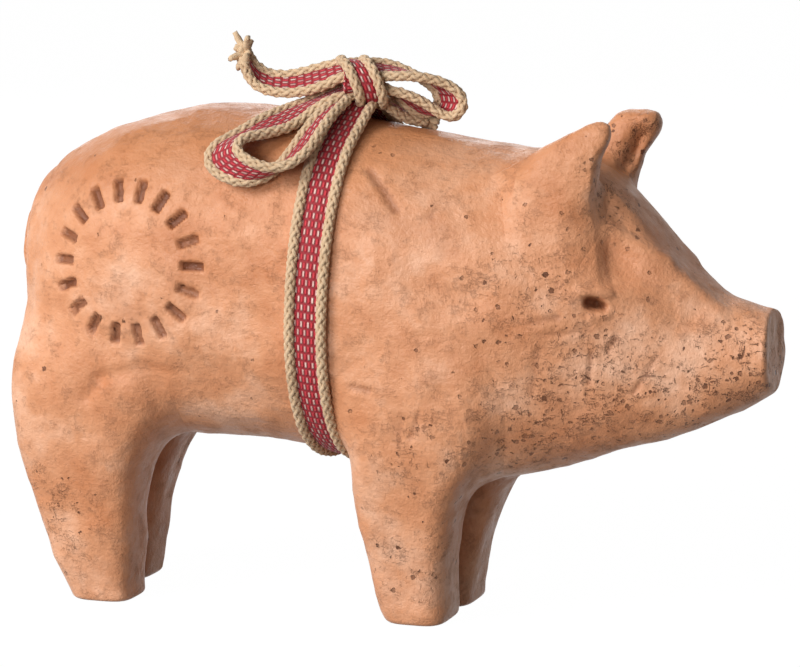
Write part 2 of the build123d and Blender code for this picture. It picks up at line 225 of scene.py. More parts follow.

# %% [markdown]
# A pit is the middle of a cell of a Voronoi pattern. One of the cell's random numbers decides
# whether the pit is there, one its size and one how dark its painted shade is. The mesh holds how
# likely a pit is at each point, in an attribute.

# %% Terracotta pits
cells = add(tree, "TexVoronoi", {"Vector": pits_at, "Scale": 1 / PIT_SPACING, "Randomness": 1.0})
pitted = add(tree, "Attribute", attribute_name="pitted").outputs["Fac"]
# the pressed attribute holds painted shade in the narrow sunken marks, the eyes and the stamped ring
pressed = add(tree, "Attribute", attribute_name="pressed").outputs["Fac"]
lots = add(tree, "SeparateColor", {"Color": cells.outputs["Color"]})
limit, pit_size, pit_shade_strength = (
    add(tree, "MapRange", {"Value": value, "To Min": least, "To Max": most}).outputs[0]
    for value, least, most in (
        (pitted, 0.988, 0.2), (lots.outputs["Green"], 0.1, 0.42), (lots.outputs["Blue"], 0.25, 1.0),
    )
)
has_pit = add(tree, "Math", {0: lots.outputs["Red"], 1: limit}, operation="GREATER_THAN").outputs[0]
pit_inside = add(tree, "Math", {
    0: pit_size, 1: cells.outputs["Distance"],
}, operation="SUBTRACT").outputs[0]
pit_shape = add(tree, "MapRange", {"Value": pit_inside, "From Min": 0.0, "From Max": 0.09}).outputs[0]
pit = add(tree, "Math", {0: has_pit, 1: pit_shape}, operation="MULTIPLY").outputs[0]
pit_shade = add(tree, "Math", {0: pit, 1: pit_shade_strength}, operation="MULTIPLY").outputs[0]

# %% [markdown]
# The scraping comes from noises that are stretched along the body and up it. Where such a noise
# peaks there is a gouge. A thin level of it is a scratch, which the mottle breaks into short
# lengths. A third noise is stretched much further, so its peaks are long, nearly straight drags.

# %% Terracotta scratches
stroke_noises, gouge, level = [], 0.0, 0.0
for turn, stretch, width, gouge_from, level_at, level_half in (
    (0.12, (0.2, 1.0, 1.0), ALONG_STROKE, 0.64, 0.53, 0.013),
    (0.3, (1.0, 1.0, 0.18), UP_STROKE, 0.66, 0.55, 0.011),
):
    stretched = add(tree, "Mapping", {
        "Vector": strokes_at, "Rotation": (0.0, turn, 0.0), "Scale": stretch,
    })
    noise = add(tree, "TexNoise", {
        "Vector": stretched.outputs[0], "Scale": 1 / width, "Detail": 3.0, "Roughness": 0.62,
    }).outputs["Fac"]
    peak = add(tree, "MapRange", {"Value": noise, "From Min": gouge_from, "From Max": gouge_from + 0.08})
    line = add(tree, "Math", {0: noise, 1: level_at, 2: level_half}, operation="COMPARE")
    gouge = add(tree, "Math", {0: gouge, 1: peak.outputs[0]}, operation="MAXIMUM").outputs[0]
    level = add(tree, "Math", {0: level, 1: line.outputs[0]}, operation="MAXIMUM").outputs[0]
    stroke_noises.append(noise)
broken = add(tree, "MapRange", {"Value": mottle.outputs["Fac"], "From Min": 0.51, "From Max": 0.58})
scratch = add(tree, "Math", {0: level, 1: broken.outputs[0]}, operation="MULTIPLY").outputs[0]
drawn_out = add(tree, "Mapping", {
    "Vector": drags_at, "Rotation": (0.0, 0.18, 0.0), "Scale": (0.07, 1.0, 1.0),
}).outputs[0]
drags = add(tree, "TexNoise", {
    "Vector": drawn_out, "Scale": 1 / DRAG_WIDTH, "Detail": 2.0, "Roughness": 0.6,
}).outputs["Fac"]
drag = add(tree, "MapRange", {
    "Value": drags, "From Min": 0.68, "From Max": 0.74, "To Min": 0.0, "To Max": 0.8,
}).outputs[0]
for other in (scratch, drag):
    gouge = add(tree, "Math", {0: gouge, 1: other}, operation="MAXIMUM").outputs[0]
gouge_amount = add(tree, "MapRange", {
    "Value": pitted, "From Min": 0.08, "From Max": 0.6, "To Min": 0.1, "To Max": 1.0,
}).outputs[0]
scratched = add(tree, "Math", {0: gouge, 1: gouge_amount}, operation="MULTIPLY").outputs[0]

# %% [markdown]
# The colour is laid on in coats: the fired clay in three tones, then darker spots, smoke and
# grit, then painted shade: a browner top of the back, darker pits and scratches, and darker
# pressed marks. The painted shade on the top is strongest behind the shoulder.

# %% Terracotta colour
ramp = add(tree, "ValToRGB", {"Fac": slip.outputs["Fac"]})
stops = ramp.color_ramp.elements
stops.new(0.5)
for stop, at, shade in zip(stops, (0.30, 0.5, 0.68), ("#C37E54", "#D5956D", "#E7B291")):
    stop.position, stop.color = at, linear(shade)
coats = []
for noise, low, high, most, shade in (
    (mottle, 0.55, 0.78, 0.55, "#B98060"), (smoke, 0.54, 0.72, 0.45, "#A97253"),
    (grit, 0.5, 0.85, 0.35, "#C3835E"),
):
    amount = add(tree, "MapRange", {
        "Value": noise.outputs["Fac"], "From Min": low, "From Max": high, "To Min": 0.0, "To Max": most,
    }).outputs[0]
    coats.append((amount, shade))
# painted shade: the top of the body, from 84 to 105 mm up, is coloured browner, most behind the shoulder
axes = add(tree, "SeparateXYZ", {"Vector": in_mm})
top_shade_limit = add(tree, "MapRange", {
    "Value": axes.outputs["X"], "From Min": 10.0, "From Max": 40.0, "To Min": 0.88, "To Max": 0.3,
}).outputs[0]
top_shade_amount = add(tree, "MapRange", {
    "Value": axes.outputs["Z"], "From Min": 84.0, "From Max": 105.0, "To Min": 0.0, "To Max": top_shade_limit,
}).outputs[0]
# painted shade: the pits and scratches are coloured dark brown, as shade in their hollows
marks_shade = add(tree, "Math", {0: pit_shade, 1: scratched}, operation="MAXIMUM").outputs[0]
marks_shade_amount = add(tree, "Math", {0: marks_shade, 1: 0.9}, operation="MULTIPLY").outputs[0]
# painted shade coats: the top of the back, the pits and scratches, and the pressed marks
coats += [(top_shade_amount, "#B8774A"), (marks_shade_amount, "#582C15"), (pressed, "#5F3018")]
colour = ramp.outputs["Color"]
for amount, shade in coats:
    colour = add(tree, "Mix", {
        "Factor": amount, "A": colour, "B": linear(shade),
    }, data_type="RGBA").outputs["Result"]

# %% [markdown]
# What is finer than the mesh is bump. The grit, the strokes along the body and the mottle stand up,
# and the pits and scratches are cut in. Fired clay takes a low, uneven sheen where it was rubbed.

# %% Terracotta shader
# each pattern with its height in mm
relief = 0.0
for pattern, height in (
    (grit.outputs["Fac"], 0.18), (stroke_noises[0], 0.16), (mottle.outputs["Fac"], 0.62),
    (pit, -0.6), (scratched, -0.5),
):
    relief = add(tree, "Math", {0: pattern, 1: height, 2: relief}, operation="MULTIPLY_ADD").outputs[0]
bump = add(tree, "Bump", {"Height": relief, "Distance": MM, "Strength": 0.9})
clay_rough = add(tree, "MapRange", {
    "Value": mottle.outputs["Fac"], "From Min": 0.3, "From Max": 0.7, "To Min": 0.33, "To Max": 0.6,
}).outputs[0]
shader = add(tree, "BsdfPrincipled", {
    "Base Color": colour, "Roughness": clay_rough, "IOR": 1.45, "Specular IOR Level": 0.35,
    "Normal": bump.outputs["Normal"],
})
tree.links.new(shader.outputs[0], output.inputs["Surface"])
print("made", terracotta.name)

# %% [markdown]
# ### Woven tape
#
# The red tape is a plain weave of cotton. White weft floats over it in short dashes, three to a
# row, and every other row is set half a step across, like bricks. The pattern follows the tape's
# own UV map, which is in millimetres along and across, so it bends with the ribbon. An image of
# the weave would do too, but a few sums need no file and give each dash a real size.

# %% Red tape
# in mm: from row to row, from dash to dash, and the sizes of fibres and worn places
ROW_PITCH, DASH_PITCH, FIBRE_SIZE, WORN_SIZE = 1.7, 1.5, 0.5, 3.0
red_tape, tree, output = new_material("cotton_tape_woven_red_and_white")
flat = add(tree, "UVMap", uv_map="weave").outputs["UV"]
axes = add(tree, "SeparateXYZ", {"Vector": flat})
row = add(tree, "Math", {0: axes.outputs["X"], 1: 1 / ROW_PITCH}, operation="MULTIPLY").outputs[0]
row_whole = add(tree, "Math", {0: row}, operation="FLOOR").outputs[0]
shift = add(tree, "Math", {0: row_whole, 1: 0.5}, operation="MULTIPLY").outputs[0]
dash = add(tree, "Math", {
    0: axes.outputs["Y"], 1: 1 / DASH_PITCH, 2: shift,
}, operation="MULTIPLY_ADD").outputs[0]
# distance from the middle of the row and of the dash, as a share of the pitch
from_middle = []
for steps in (row, dash):
    part = add(tree, "Math", {0: steps}, operation="FRACT").outputs[0]
    off = add(tree, "Math", {0: part, 1: 0.5}, operation="SUBTRACT").outputs[0]
    from_middle.append(add(tree, "Math", {0: off}, operation="ABSOLUTE").outputs[0])
in_row, in_white, in_red = (
    add(tree, "MapRange", {
        "Value": away, "From Min": low, "From Max": high, "To Min": first, "To Max": last,
    }).outputs[0]
    for away, low, high, first, last in (
        (from_middle[0], 0.26, 0.42, 1.0, 0.0), (from_middle[1], 0.08, 0.19, 1.0, 0.0),
        (from_middle[1], 0.28, 0.44, 0.0, 1.0),
    )
)
white, red_float = (
    add(tree, "Math", {0: in_row, 1: in_thread}, operation="MULTIPLY").outputs[0]
    for in_thread in (in_white, in_red)
)
place = add(tree, "TexCoord").outputs["Object"]
fibre = add(tree, "TexNoise", {
    "Vector": place, "Scale": 1 / (FIBRE_SIZE * MM), "Detail": 3.0, "Roughness": 0.6,
})
wear = add(tree, "TexNoise", {"Vector": place, "Scale": 1 / (WORN_SIZE * MM), "Detail": 2.0})
white_amount = add(tree, "MapRange", {
    "Value": wear.outputs["Fac"], "From Min": 0.3, "From Max": 0.7, "To Min": 0.3, "To Max": 0.95,
}).outputs[0]
white_shown = add(tree, "Math", {0: white, 1: white_amount}, operation="MULTIPLY").outputs[0]
colour = linear("#8E1722")
for amount, shade in ((red_float, "#CB343F"), (white_shown, "#F3D5C8")):
    colour = add(tree, "Mix", {
        "Factor": amount, "A": colour, "B": linear(shade),
    }, data_type="RGBA").outputs["Result"]
floats = add(tree, "Math", {0: white, 1: red_float}, operation="MAXIMUM").outputs[0]
weave_height = add(tree, "Math", {
    0: fibre.outputs["Fac"], 1: 0.25, 2: floats,
}, operation="MULTIPLY_ADD").outputs[0]
bump = add(tree, "Bump", {"Height": weave_height, "Distance": 0.25 * MM, "Strength": 0.9})
shader = add(tree, "BsdfPrincipled", {
    "Base Color": colour, "Roughness": 0.72, "IOR": 1.5,
    "Sheen Weight": 0.08, "Sheen Roughness": 0.4, "Normal": bump.outputs["Normal"],
})
tree.links.new(shader.outputs[0], output.inputs["Surface"])
print("made", red_tape.name)

# %% [markdown]
# ### Braided cord
#
# The edge cords are undyed cotton and jute yarn, braided round. Each yarn is a matte, hairy
# bundle. Its colour is painted pale on its crown and brown where it goes under its neighbour, as
# painted shade between the yarns: a vertex attribute holds how far out on the cord a point lies,
# and the colour follows it. Loose hairs could be grown as curves, but at this size they only show
# as a broken colour, which a fine noise gives.

# %% Undyed cord
# widths of the yarn's hairs and of its lighter and darker lengths, in mm
HAIR_SIZE, TONE_LENGTH = 0.45, 7.0
undyed_cord, tree, output = new_material("undyed_yarn_round_braided")
place = add(tree, "TexCoord").outputs["Object"]
crown = add(tree, "Attribute", attribute_name="crown").outputs["Fac"]
hair = add(tree, "TexNoise", {
    "Vector": place, "Scale": 1 / (HAIR_SIZE * MM), "Detail": 4.0, "Roughness": 0.7,
}).outputs["Fac"]
tone = add(tree, "TexNoise", {"Vector": place, "Scale": 1 / (TONE_LENGTH * MM), "Detail": 2.0})
# painted shade: the yarn's colour darkens towards the cord's middle, where it goes under its neighbour
out_share = add(tree, "MapRange", {"Value": crown, "From Min": 0.35, "From Max": 0.95}).outputs[0]
mixed = add(tree, "Math", {0: hair, 1: 0.55, 2: out_share}, operation="MULTIPLY_ADD").outputs[0]
depth = add(tree, "MapRange", {"Value": mixed, "From Min": 0.3, "From Max": 1.35}).outputs[0]
ramp = add(tree, "ValToRGB", {"Fac": depth})
stops = ramp.color_ramp.elements
stops.new(0.5)
for stop, shade in zip(stops, ("#7C5E42", "#BD9B78", "#DABD9A")):
    stop.color = linear(shade)
tone_amount = add(tree, "MapRange", {
    "Value": tone.outputs["Fac"], "From Min": 0.45, "From Max": 0.75, "To Min": 0.0, "To Max": 0.4,
}).outputs[0]
toned = add(tree, "Mix", {
    "Factor": tone_amount, "A": ramp.outputs["Color"], "B": linear("#A5835F"),
}, data_type="RGBA")
bump = add(tree, "Bump", {"Height": hair, "Distance": 0.2 * MM, "Strength": 0.7})
shader = add(tree, "BsdfPrincipled", {
    "Base Color": toned.outputs["Result"], "Roughness": 0.9, "IOR": 1.5,
    "Sheen Weight": 0.15, "Sheen Roughness": 0.5, "Normal": bump.outputs["Normal"],
})
tree.links.new(shader.outputs[0], output.inputs["Surface"])
print("made", undyed_cord.name)

# %% [markdown]
# ## The clay's own relief
#
# All the clay pieces share one relief, worked out from the place of each point. So where a leg
# runs into the trunk the lumps run on across the join, as they do on clay that was smoothed with
# a thumb. Sculpting would give it too, but not the same twice. The relief is noise on a lattice at
# four sizes, thumb presses, and a list of marks pressed by hand.


# %% Noise
def lattice(cells, seed):
    """A fixed number from -1 to 1 for every whole-number cell: the fraction of a large sine."""
    phase = cells @ np.array([127.1, 311.7, 74.7]) + 17.3 * seed
    return 2.0 * np.modf(np.abs(np.sin(phase)) * 43758.5453)[0] - 1.0


def lumps(points, size, seed):
    """Smooth noise: the lattice's values at the eight corners of a cell, eased from one to the next."""
    scaled = points / np.asarray(size)
    low = np.floor(scaled)
    part = ease(scaled - low, 0.0, 1.0)
    total = np.zeros(points.shape[:-1])
    for corner in itertools.product((0, 1), repeat=3):
        weight = np.prod(np.where(np.array(corner), part, 1.0 - part), axis=-1)
        total += weight * lattice(low + np.array(corner), seed)
    return total


def presses(points, size, seed):
    """Shallow thumb presses with ridges between them: the squared distance to the nearest of a set of
    scattered points, one to a cell, in cells."""
    scaled = points / np.asarray(size)
    low = np.floor(scaled)
    nearest = np.full(points.shape[:-1], 9.0)
    for step in itertools.product((-1, 0, 1), repeat=3):
        cell = low + np.array(step)
        spot = cell + 0.5 + 0.5 * np.stack([lattice(cell, seed + k) for k in range(3)], axis=-1)
        nearest = np.minimum(nearest, np.sum((spot - scaled) ** 2, axis=-1))
    return nearest


# %% [markdown]
# The marks are short strokes: two ends, a radius and a depth, all in millimetres. A negative depth
# is a ridge. The eyes are the deepest. The rest are the planes of the face, scratches, creases where
# the legs were pushed on, dents of a thumb on the flank, and the hollow of each ear. Each could be a
# brush stroke in sculpt mode, but as a list they can be moved one by one. A ring of plain strokes is
# pressed into the right side of the rump.

# %% Marks in the clay
MARKS = (
    # eyes: a pit and the brow over it; the right one has a second pit and a lump of clay under it
    ((48.4, -17.4, 70.1), (49.5, -17.2, 69.8), 1.3, 2.8),
    ((50.6, -17.0, 69.5), (51.0, -16.9, 69.3), 0.95, 1.7),
    ((46.4, -18.2, 72.3), (52.4, -16.8, 72.2), 1.0, -0.7),
    ((49.0, -17.6, 67.2), (52.0, -17.0, 67.8), 1.0, -0.5),
    ((48.4, 17.4, 70.1), (49.5, 17.2, 69.8), 1.3, 2.8),
    ((46.4, 18.2, 72.3), (52.4, 16.8, 72.2), 1.0, -0.7),
    # planes of the face: an edge from ear to snout, and a hollow below it
    ((52.0, -13.4, 85.0), (61.5, -8.4, 77.6), 2.4, -1.1),
    ((65.5, -7.6, 74.6), (73.0, -8.0, 68.8), 2.4, -0.9),
    ((54.5, -14.8, 80.0), (67.0, -11.4, 67.0), 4.0, 1.2),
    ((50.5, 14.0, 86.0), (63.0, 7.6, 76.4), 2.6, -0.9),
    ((54.5, 14.5, 80.0), (67.0, 11.0, 67.0), 4.0, 0.9),
    # scratches on the cheek
    ((44.6, -19.5, 86.0), (41.8, -20.5, 71.6), 0.5, 0.4),
    ((38.4, -21.0, 60.6), (36.8, -20.5, 49.8), 0.5, 0.45),
    ((49.0, -18.0, 59.8), (48.4, -17.5, 53.3), 0.5, 0.45),
    ((53.7, -16.0, 63.1), (52.1, -16.5, 60.0), 0.55, 0.5),
    ((61.7, -13.5, 59.3), (57.1, -14.5, 51.3), 0.5, 0.4),
    ((36.4, -21.5, 66.0), (42.6, -20.0, 67.2), 0.6, 0.5),
    ((38.4, -21.0, 63.4), (51.7, -17.4, 64.7), 0.45, 0.3),
    ((31.7, -21.5, 43.6), (41.3, -18.5, 46.1), 0.55, 0.45),
    # creases over the rear leg, and the fold where it meets the belly
    ((-60.0, -25.0, 46.0), (-57.0, -25.5, 49.6), 1.8, 0.7),
    ((-56.2, -25.5, 50.4), (-47.3, -26.0, 52.2), 1.8, 0.9),
    ((-46.4, -26.0, 52.2), (-38.5, -26.0, 51.4), 1.8, 0.7),
    ((-44.5, -25.0, 48.5), (-43.5, -22.0, 37.0), 1.9, 1.5),
    # crack from the ribbon and gouges at the root of the front leg
    ((-2.5, -26.0, 52.0), (4.0, -26.0, 50.7), 0.6, 0.6),
    ((10.9, -25.5, 46.6), (9.8, -25.0, 40.1), 0.6, 0.4),
    ((14.9, -25.5, 47.4), (12.6, -25.0, 41.3), 0.6, 0.4),
    ((19.0, -25.0, 50.0), (21.5, -22.5, 40.0), 2.6, 0.9),
    # strokes on the shoulder and dents on the flank
    ((1.7, -19.0, 96.0), (8.7, -23.0, 88.2), 0.9, 0.6),
    ((18.0, -20.0, 93.7), (16.0, -22.8, 87.0), 0.9, 0.5),
    ((16.0, -26.0, 73.0), (24.0, -25.0, 70.0), 5.0, 0.9),
    ((-30.0, -27.0, 72.0), (-24.0, -27.0, 66.0), 6.0, 0.6),
    ((30.0, -24.0, 60.0), (36.0, -22.5, 56.0), 5.0, 0.6),
    # hollow on the inner side of each ear
    ((49.5, 9.0, 96.5), (51.5, 10.4, 101.5), 2.2, 2.0),
    ((47.5, -9.0, 96.5), (49.0, -10.4, 101.5), 2.2, 1.2),
    # groove beside the tail
    ((-80.2, -5.4, 83.5), (-80.8, -5.8, 69.5), 1.0, 0.9),
    # hollow of the right rear knee
    ((-50.0, -21.0, 34.0), (-51.5, -19.0, 24.0), 4.0, 0.7),
)
MARK_NARROW = 1.7  # a mark of a smaller radius has steep walls and a floor darkened by painted shade


def near_stroke(points, start, end):
    """Distance of each point from the straight line between two ends."""
    start, end = np.array(start), np.array(end)
    run = end - start
    part = np.clip((points - start) @ run / (run @ run), 0.0, 1.0)
    return np.linalg.norm(points - start - part[..., None] * run, axis=-1)


# %% Pressed ring and brow
STAMP_MIDDLE, STAMP_RADIUS, STAMP_STROKES, STAMP_DEPTH = (-49.8, 75.2), 15.2, 18, 1.6
STROKE_HALF_WIDTHS, STROKE_HALF_LENGTHS = (0.75, 1.15), (2.1, 2.55)  # at the floor and at the rim
RIGHT_FLANK = -15.0  # across the pig, the ring is on the skin beyond this
BROW_HEIGHTS, BROW_PLACES = (73.0, 80.0, 91.0, 104.0), (50.2, 49.4, 48.0, 49.2)
BROW_DEPTH, BROW_FALL = 1.7, 2.8
BROW_FOOT, BROW_TOP, BROW_INNER = (71.0, 76.0), (96.0, 104.0), (7.0, 11.0)  # where its ends fade


def stamped(points):
    """0 to 1 on a ring of plain radial strokes: near the ring's radius, and near one of its steps."""
    across, up = points[..., 0] - STAMP_MIDDLE[0], points[..., 2] - STAMP_MIDDLE[1]
    radius = np.hypot(across, up)
    turn = np.arctan2(up, across) * STAMP_STROKES / (2 * np.pi)
    sideways = np.abs(turn - np.round(turn)) * 2 * np.pi * radius / STAMP_STROKES
    bar = 1 - ease(sideways, *STROKE_HALF_WIDTHS)
    bar = bar * (1 - ease(np.abs(radius - STAMP_RADIUS), *STROKE_HALF_LENGTHS))
    return bar * (0.8 + 0.2 * lumps(points, 5.0, 9)) * (points[..., 1] < RIGHT_FLANK)


def brow(points):
    """Depth of the face in front of the edge from ear to eye, in mm: it falls off straight from the
    edge, so that the edge is sharp, and comes up again slowly."""
    ahead = points[..., 0] - np.interp(points[..., 2], BROW_HEIGHTS, BROW_PLACES)
    fall = np.clip(ahead / BROW_FALL, 0.0, 1.0) * (1 - ease(ahead, BROW_FALL, 5 * BROW_FALL))
    ends = ease(points[..., 2], *BROW_FOOT) * (1 - ease(points[..., 2], *BROW_TOP))
    return BROW_DEPTH * fall * ends * ease(np.abs(points[..., 1]), *BROW_INNER)


def pressed_depth(points):
    """Depth of the pressed marks in mm, and how much painted shade darkens them. Each mark is its depth
    times a bell curve of the distance from its stroke; only narrow, sunken ones get painted shade."""
    recess_shade = stamped(points)
    depth = STAMP_DEPTH * recess_shade + brow(points)
    for start, end, radius, deep in MARKS:
        narrow = radius < MARK_NARROW
        shape = np.exp(-((near_stroke(points, start, end) / radius) ** (4 if narrow else 2)))
        depth = depth + deep * shape
        if narrow and deep > 0:
            recess_shade = np.maximum(recess_shade, min(0.8 * deep, 1.0) * shape)
    return depth, recess_shade


# %% Relief
def worked(points):
    """Height of the clay's relief in mm: lumps, thumb presses, and ripples drawn out along the body.
    Each term is a height times a noise of a given size, both in mm."""
    return (
        0.55 * lumps(points, 17.0, 1)
        + 0.70 * (presses(points, (14.0, 11.0, 12.0), 5) - 0.35)
        + 0.20 * lumps(points, 6.5, 2)
        + 0.11 * lumps(points, (9.0, 3.0, 3.4), 3)
        + 0.07 * lumps(points, 1.9, 4)
    )


# place and radius in mm of each pitted patch, and how thickly it is pitted
PITTED_PATCHES = (
    ((78.0, -9.0, 56.0), 9.0, 1.0), ((66.0, -12.0, 50.0), 10.0, 0.75), ((50.0, -17.0, 52.0), 16.0, 0.6),
    ((36.0, -20.0, 42.0), 12.0, 0.75), ((52.0, -12.0, 92.0), 8.0, 0.8), ((54.0, 14.0, 100.0), 8.0, 1.0),
    ((16.0, -24.0, 38.0), 11.0, 0.32), ((12.0, -20.0, 14.0), 12.0, 0.25),
    ((-70.0, -20.0, 20.0), 12.0, 0.3), ((36.0, -20.0, 72.0), 14.0, 0.3),
    ((78.0, 9.0, 56.0), 9.0, 1.0), ((50.0, 17.0, 52.0), 18.0, 0.6),
)


def pitted_share(points):
    """0 to 1 where grit has torn out: bell curves round the snout, the jaw, the ears and the feet."""
    share = np.zeros(points.shape[:-1])
    for middle, radius, most in PITTED_PATCHES:
        away = np.linalg.norm(points - np.array(middle), axis=-1)
        share = np.maximum(share, most * np.exp(-((away / radius) ** 2)))
    return share


# %% [markdown]
# ## Trunk and head
#
# The trunk is one roll of clay from the rump to the snout. A box could be subdivided and pulled
# into this shape, but a formula can also tell any other piece how far a point lies from the trunk,
# which the legs and ears need to grow out of it. So the top line, the underside and the width are
# smooth curves through a few measured places, and each cross-section is a superellipse, a little
# fuller than an ellipse.

# %% Trunk shape
# place along the pig, top, bottom and half width, in mm
TRUNK = np.array((
    (-81.2, 78.0, 64.0, 3.0), (-80.8, 81.4, 61.3, 5.4), (-78.8, 88.8, 49.2, 13.2),
    (-74.4, 94.2, 42.0, 19.2), (-65.5, 100.2, 37.5, 24.0), (-49.8, 105.5, 36.0, 27.0),
    (-28.3, 106.6, 35.6, 27.5), (-7.6, 105.0, 34.2, 27.2), (12.1, 101.9, 31.8, 26.2),
    (27.9, 100.0, 30.4, 24.0), (39.7, 99.0, 33.2, 21.0), (49.4, 94.0, 36.4, 17.8),
    (57.3, 85.2, 39.0, 14.8), (65.2, 76.0, 41.6, 12.3), (72.1, 70.6, 44.7, 10.8),
    (78.0, 69.0, 47.9, 10.0), (83.2, 68.2, 51.0, 9.6),
))
TRUNK_FULLNESS, FACE_FULLNESS, FACE_MIDDLE, FACE_REACH = 2.3, 0.8, 60.0, 13.0
RUMP_END, SNOUT_END = TRUNK[0, 0], TRUNK[-1, 0]
STEEP_STEP = 0.2  # half the step over which the trunk's narrowing is measured


def bell(value, middle, reach):
    """A bell curve: 1 at the middle, and falling with the square of the distance over the reach."""
    return np.exp(-(((value - middle) / reach) ** 2))


def trunk_fullness(x):
    """Fullness of the trunk's section at x: squarer across the face, so that it has planes."""
    return TRUNK_FULLNESS + FACE_FULLNESS * bell(x, FACE_MIDDLE, FACE_REACH)


def curve_through(places, values, at):
    """Smooth curve through values at places: cubic pieces, with slopes from the places on each side."""
    slopes = np.gradient(values, places)
    at = np.clip(at, places[0], places[-1])
    index = np.clip(np.searchsorted(places, at) - 1, 0, len(places) - 2)
    run = places[index + 1] - places[index]
    part = (at - places[index]) / run
    return (
        (1 + 2 * part) * (1 - part) ** 2 * values[index]
        + part * (1 - part) ** 2 * run * slopes[index]
        + part**2 * (3 - 2 * part) * values[index + 1]
        + part**2 * (part - 1) * run * slopes[index + 1]
    )


def trunk_section(x):
    """Middle height, half width and half height of the trunk's section at x."""
    top, bottom, half = (curve_through(TRUNK[:, 0], TRUNK[:, i], x) for i in (1, 2, 3))
    return (top + bottom) / 2, half, (top - bottom) / 2


def superellipse(angle, half_across, half_up, fullness):
    """Point of a superellipse: a half size times |cos| or |sin| to the power 2 / fullness."""
    power = 2 / fullness
    across = half_across * np.sign(np.cos(angle)) * np.abs(np.cos(angle)) ** power
    up = half_up * np.sign(np.sin(angle)) * np.abs(np.sin(angle)) ** power
    return across, up


def outside_section(across, up, half_across, half_up, fullness):
    """Signed distance from a superellipse, along the line to its middle: negative inside."""
    reach = np.hypot(across, up)
    share = np.abs(across / half_across) ** fullness + np.abs(up / half_up) ** fullness
    share = share ** (1 / fullness)
    return reach * (1 - 1 / np.maximum(share, 1e-6))


def off_trunk(points):
    """Signed distance of points from the trunk's plain skin: the distance in the section, eased where
    the trunk narrows steeply, and the distance past the rump."""
    x = points[..., 0]
    middle, half, half_up = trunk_section(x)
    off = outside_section(points[..., 1], points[..., 2] - middle, half, half_up, trunk_fullness(x))
    steep = (trunk_section(x + STEEP_STEP)[1] - trunk_section(x - STEEP_STEP)[1]) / (2 * STEEP_STEP)
    return np.maximum(off / np.sqrt(1 + steep**2), RUMP_END - x)


# %% Clay skin
SLOPE_STEP, RECESS_SHADE_STRENGTH, STILL_EASE = 0.05, 0.95, 3.0
ON_TRUNK = (0.8, 4.0)  # a grown piece moves with the trunk up to the first distance, not past the second


def unit(vectors):
    """The same directions with a length of one."""
    return vectors / np.maximum(np.linalg.norm(vectors, axis=-1, keepdims=True), 1e-9)


def surface_normals(rings):
    """Outward normals of a stack of rings: the cross product of the steps along and round it."""
    along = np.gradient(rings, axis=0)
    round_it = np.roll(rings, -1, axis=1) - np.roll(rings, 1, axis=1)
    normals = unit(np.cross(round_it, along))
    outward = np.sum(normals * (rings - rings.mean(axis=1, keepdims=True)))
    return normals * np.sign(outward)


def slope_of(distance, points):
    """Direction in which a distance grows fastest, from small steps along each axis."""
    steps = np.eye(3) * SLOPE_STEP
    grow = np.stack([distance(points + s) - distance(points - s) for s in steps], axis=-1)
    return unit(grow)


def finish_clay(name, rings, node, still_below=0.0, grown_on=False):
    """Gives a stack of rings the clay's relief and marks, and makes its piece. Nothing at or below the
    height still_below moves, so that soles stay flat. A piece that is grown on the trunk is moved, where
    it lies on the trunk, as the trunk is."""
    normals = surface_normals(rings)
    if grown_on:
        close = (1 - ease(np.abs(off_trunk(rings)), *ON_TRUNK))[..., None]
        normals = unit((1 - close) * normals + close * slope_of(off_trunk, rings))
    depth, recess_shade = pressed_depth(rings)
    height = (worked(rings) - depth) * ease(rings[..., 2], still_below, still_below + STILL_EASE)
    mesh = stack_mesh(name, rings + normals * height[..., None])
    ends = np.zeros(2)
    # the pressed attribute is painted shade in the narrow sunken marks; pitted is how likely a pit is
    for label, values in (("pressed", RECESS_SHADE_STRENGTH * recess_shade), ("pitted", pitted_share(rings))):
        layer = mesh.attributes.new(label, "FLOAT", "POINT")
        layer.data.foreach_set("value", np.concatenate([values.ravel(), ends]).astype(np.float32))
    add_piece(mesh, terracotta, "clay", node)


def even_steps(places, weights, count):
    """Count places spread so that each step holds the same share of the weights."""
    total = np.concatenate([[0.0], np.cumsum((weights[1:] + weights[:-1]) / 2 * np.diff(places))])
    return np.interp(np.linspace(0.0, total[-1], count), total, places)


# %% [markdown]
# The rings lie closest where the skin is steep or finely marked: at the rump, by the pressed ring
# and at the snout. The snout ends in a rounded edge and a disc that is a little hollow.

# %% Trunk rings
SNOUT_EDGE, SNOUT_HOLLOW, RUMP_SWELL = 0.9, 0.5, 0.25
BODY_RINGS, EDGE_RINGS, DISC_RINGS, CAP_RINGS, TRUNK_COLUMNS, FINE_STEPS = 292, 8, 14, 8, 296, 4000
CLOSE_AT, CLOSE_REACH, HEAD_START, HEAD_END = -50.0, 20.0, 34.0, 50.0
fine = np.linspace(RUMP_END, SNOUT_END - SNOUT_EDGE, FINE_STEPS)
slope = np.abs(np.gradient(trunk_section(fine)[2], fine))
by_ring = 1.1 * bell(fine, CLOSE_AT, CLOSE_REACH)
on_head = 0.6 * ease(fine, HEAD_START, HEAD_END)
body_x = even_steps(fine, np.sqrt(1 + slope**2) * (1 + by_ring + on_head), BODY_RINGS)
turn = np.linspace(0.1, 1.0, EDGE_RINGS) * np.pi / 2
edge_x = SNOUT_END - SNOUT_EDGE * (1 - np.sin(turn))
edge_inset = SNOUT_EDGE * (1 - np.cos(turn))
disc_share = np.linspace(0.9, 0.04, DISC_RINGS)
cap_share = np.linspace(0.06, 0.92, CAP_RINGS)
ring_x = np.concatenate([
    RUMP_END - RUMP_SWELL * (1 - cap_share**2), body_x, edge_x,
    SNOUT_END - SNOUT_HOLLOW * (1 - disc_share**2),
])
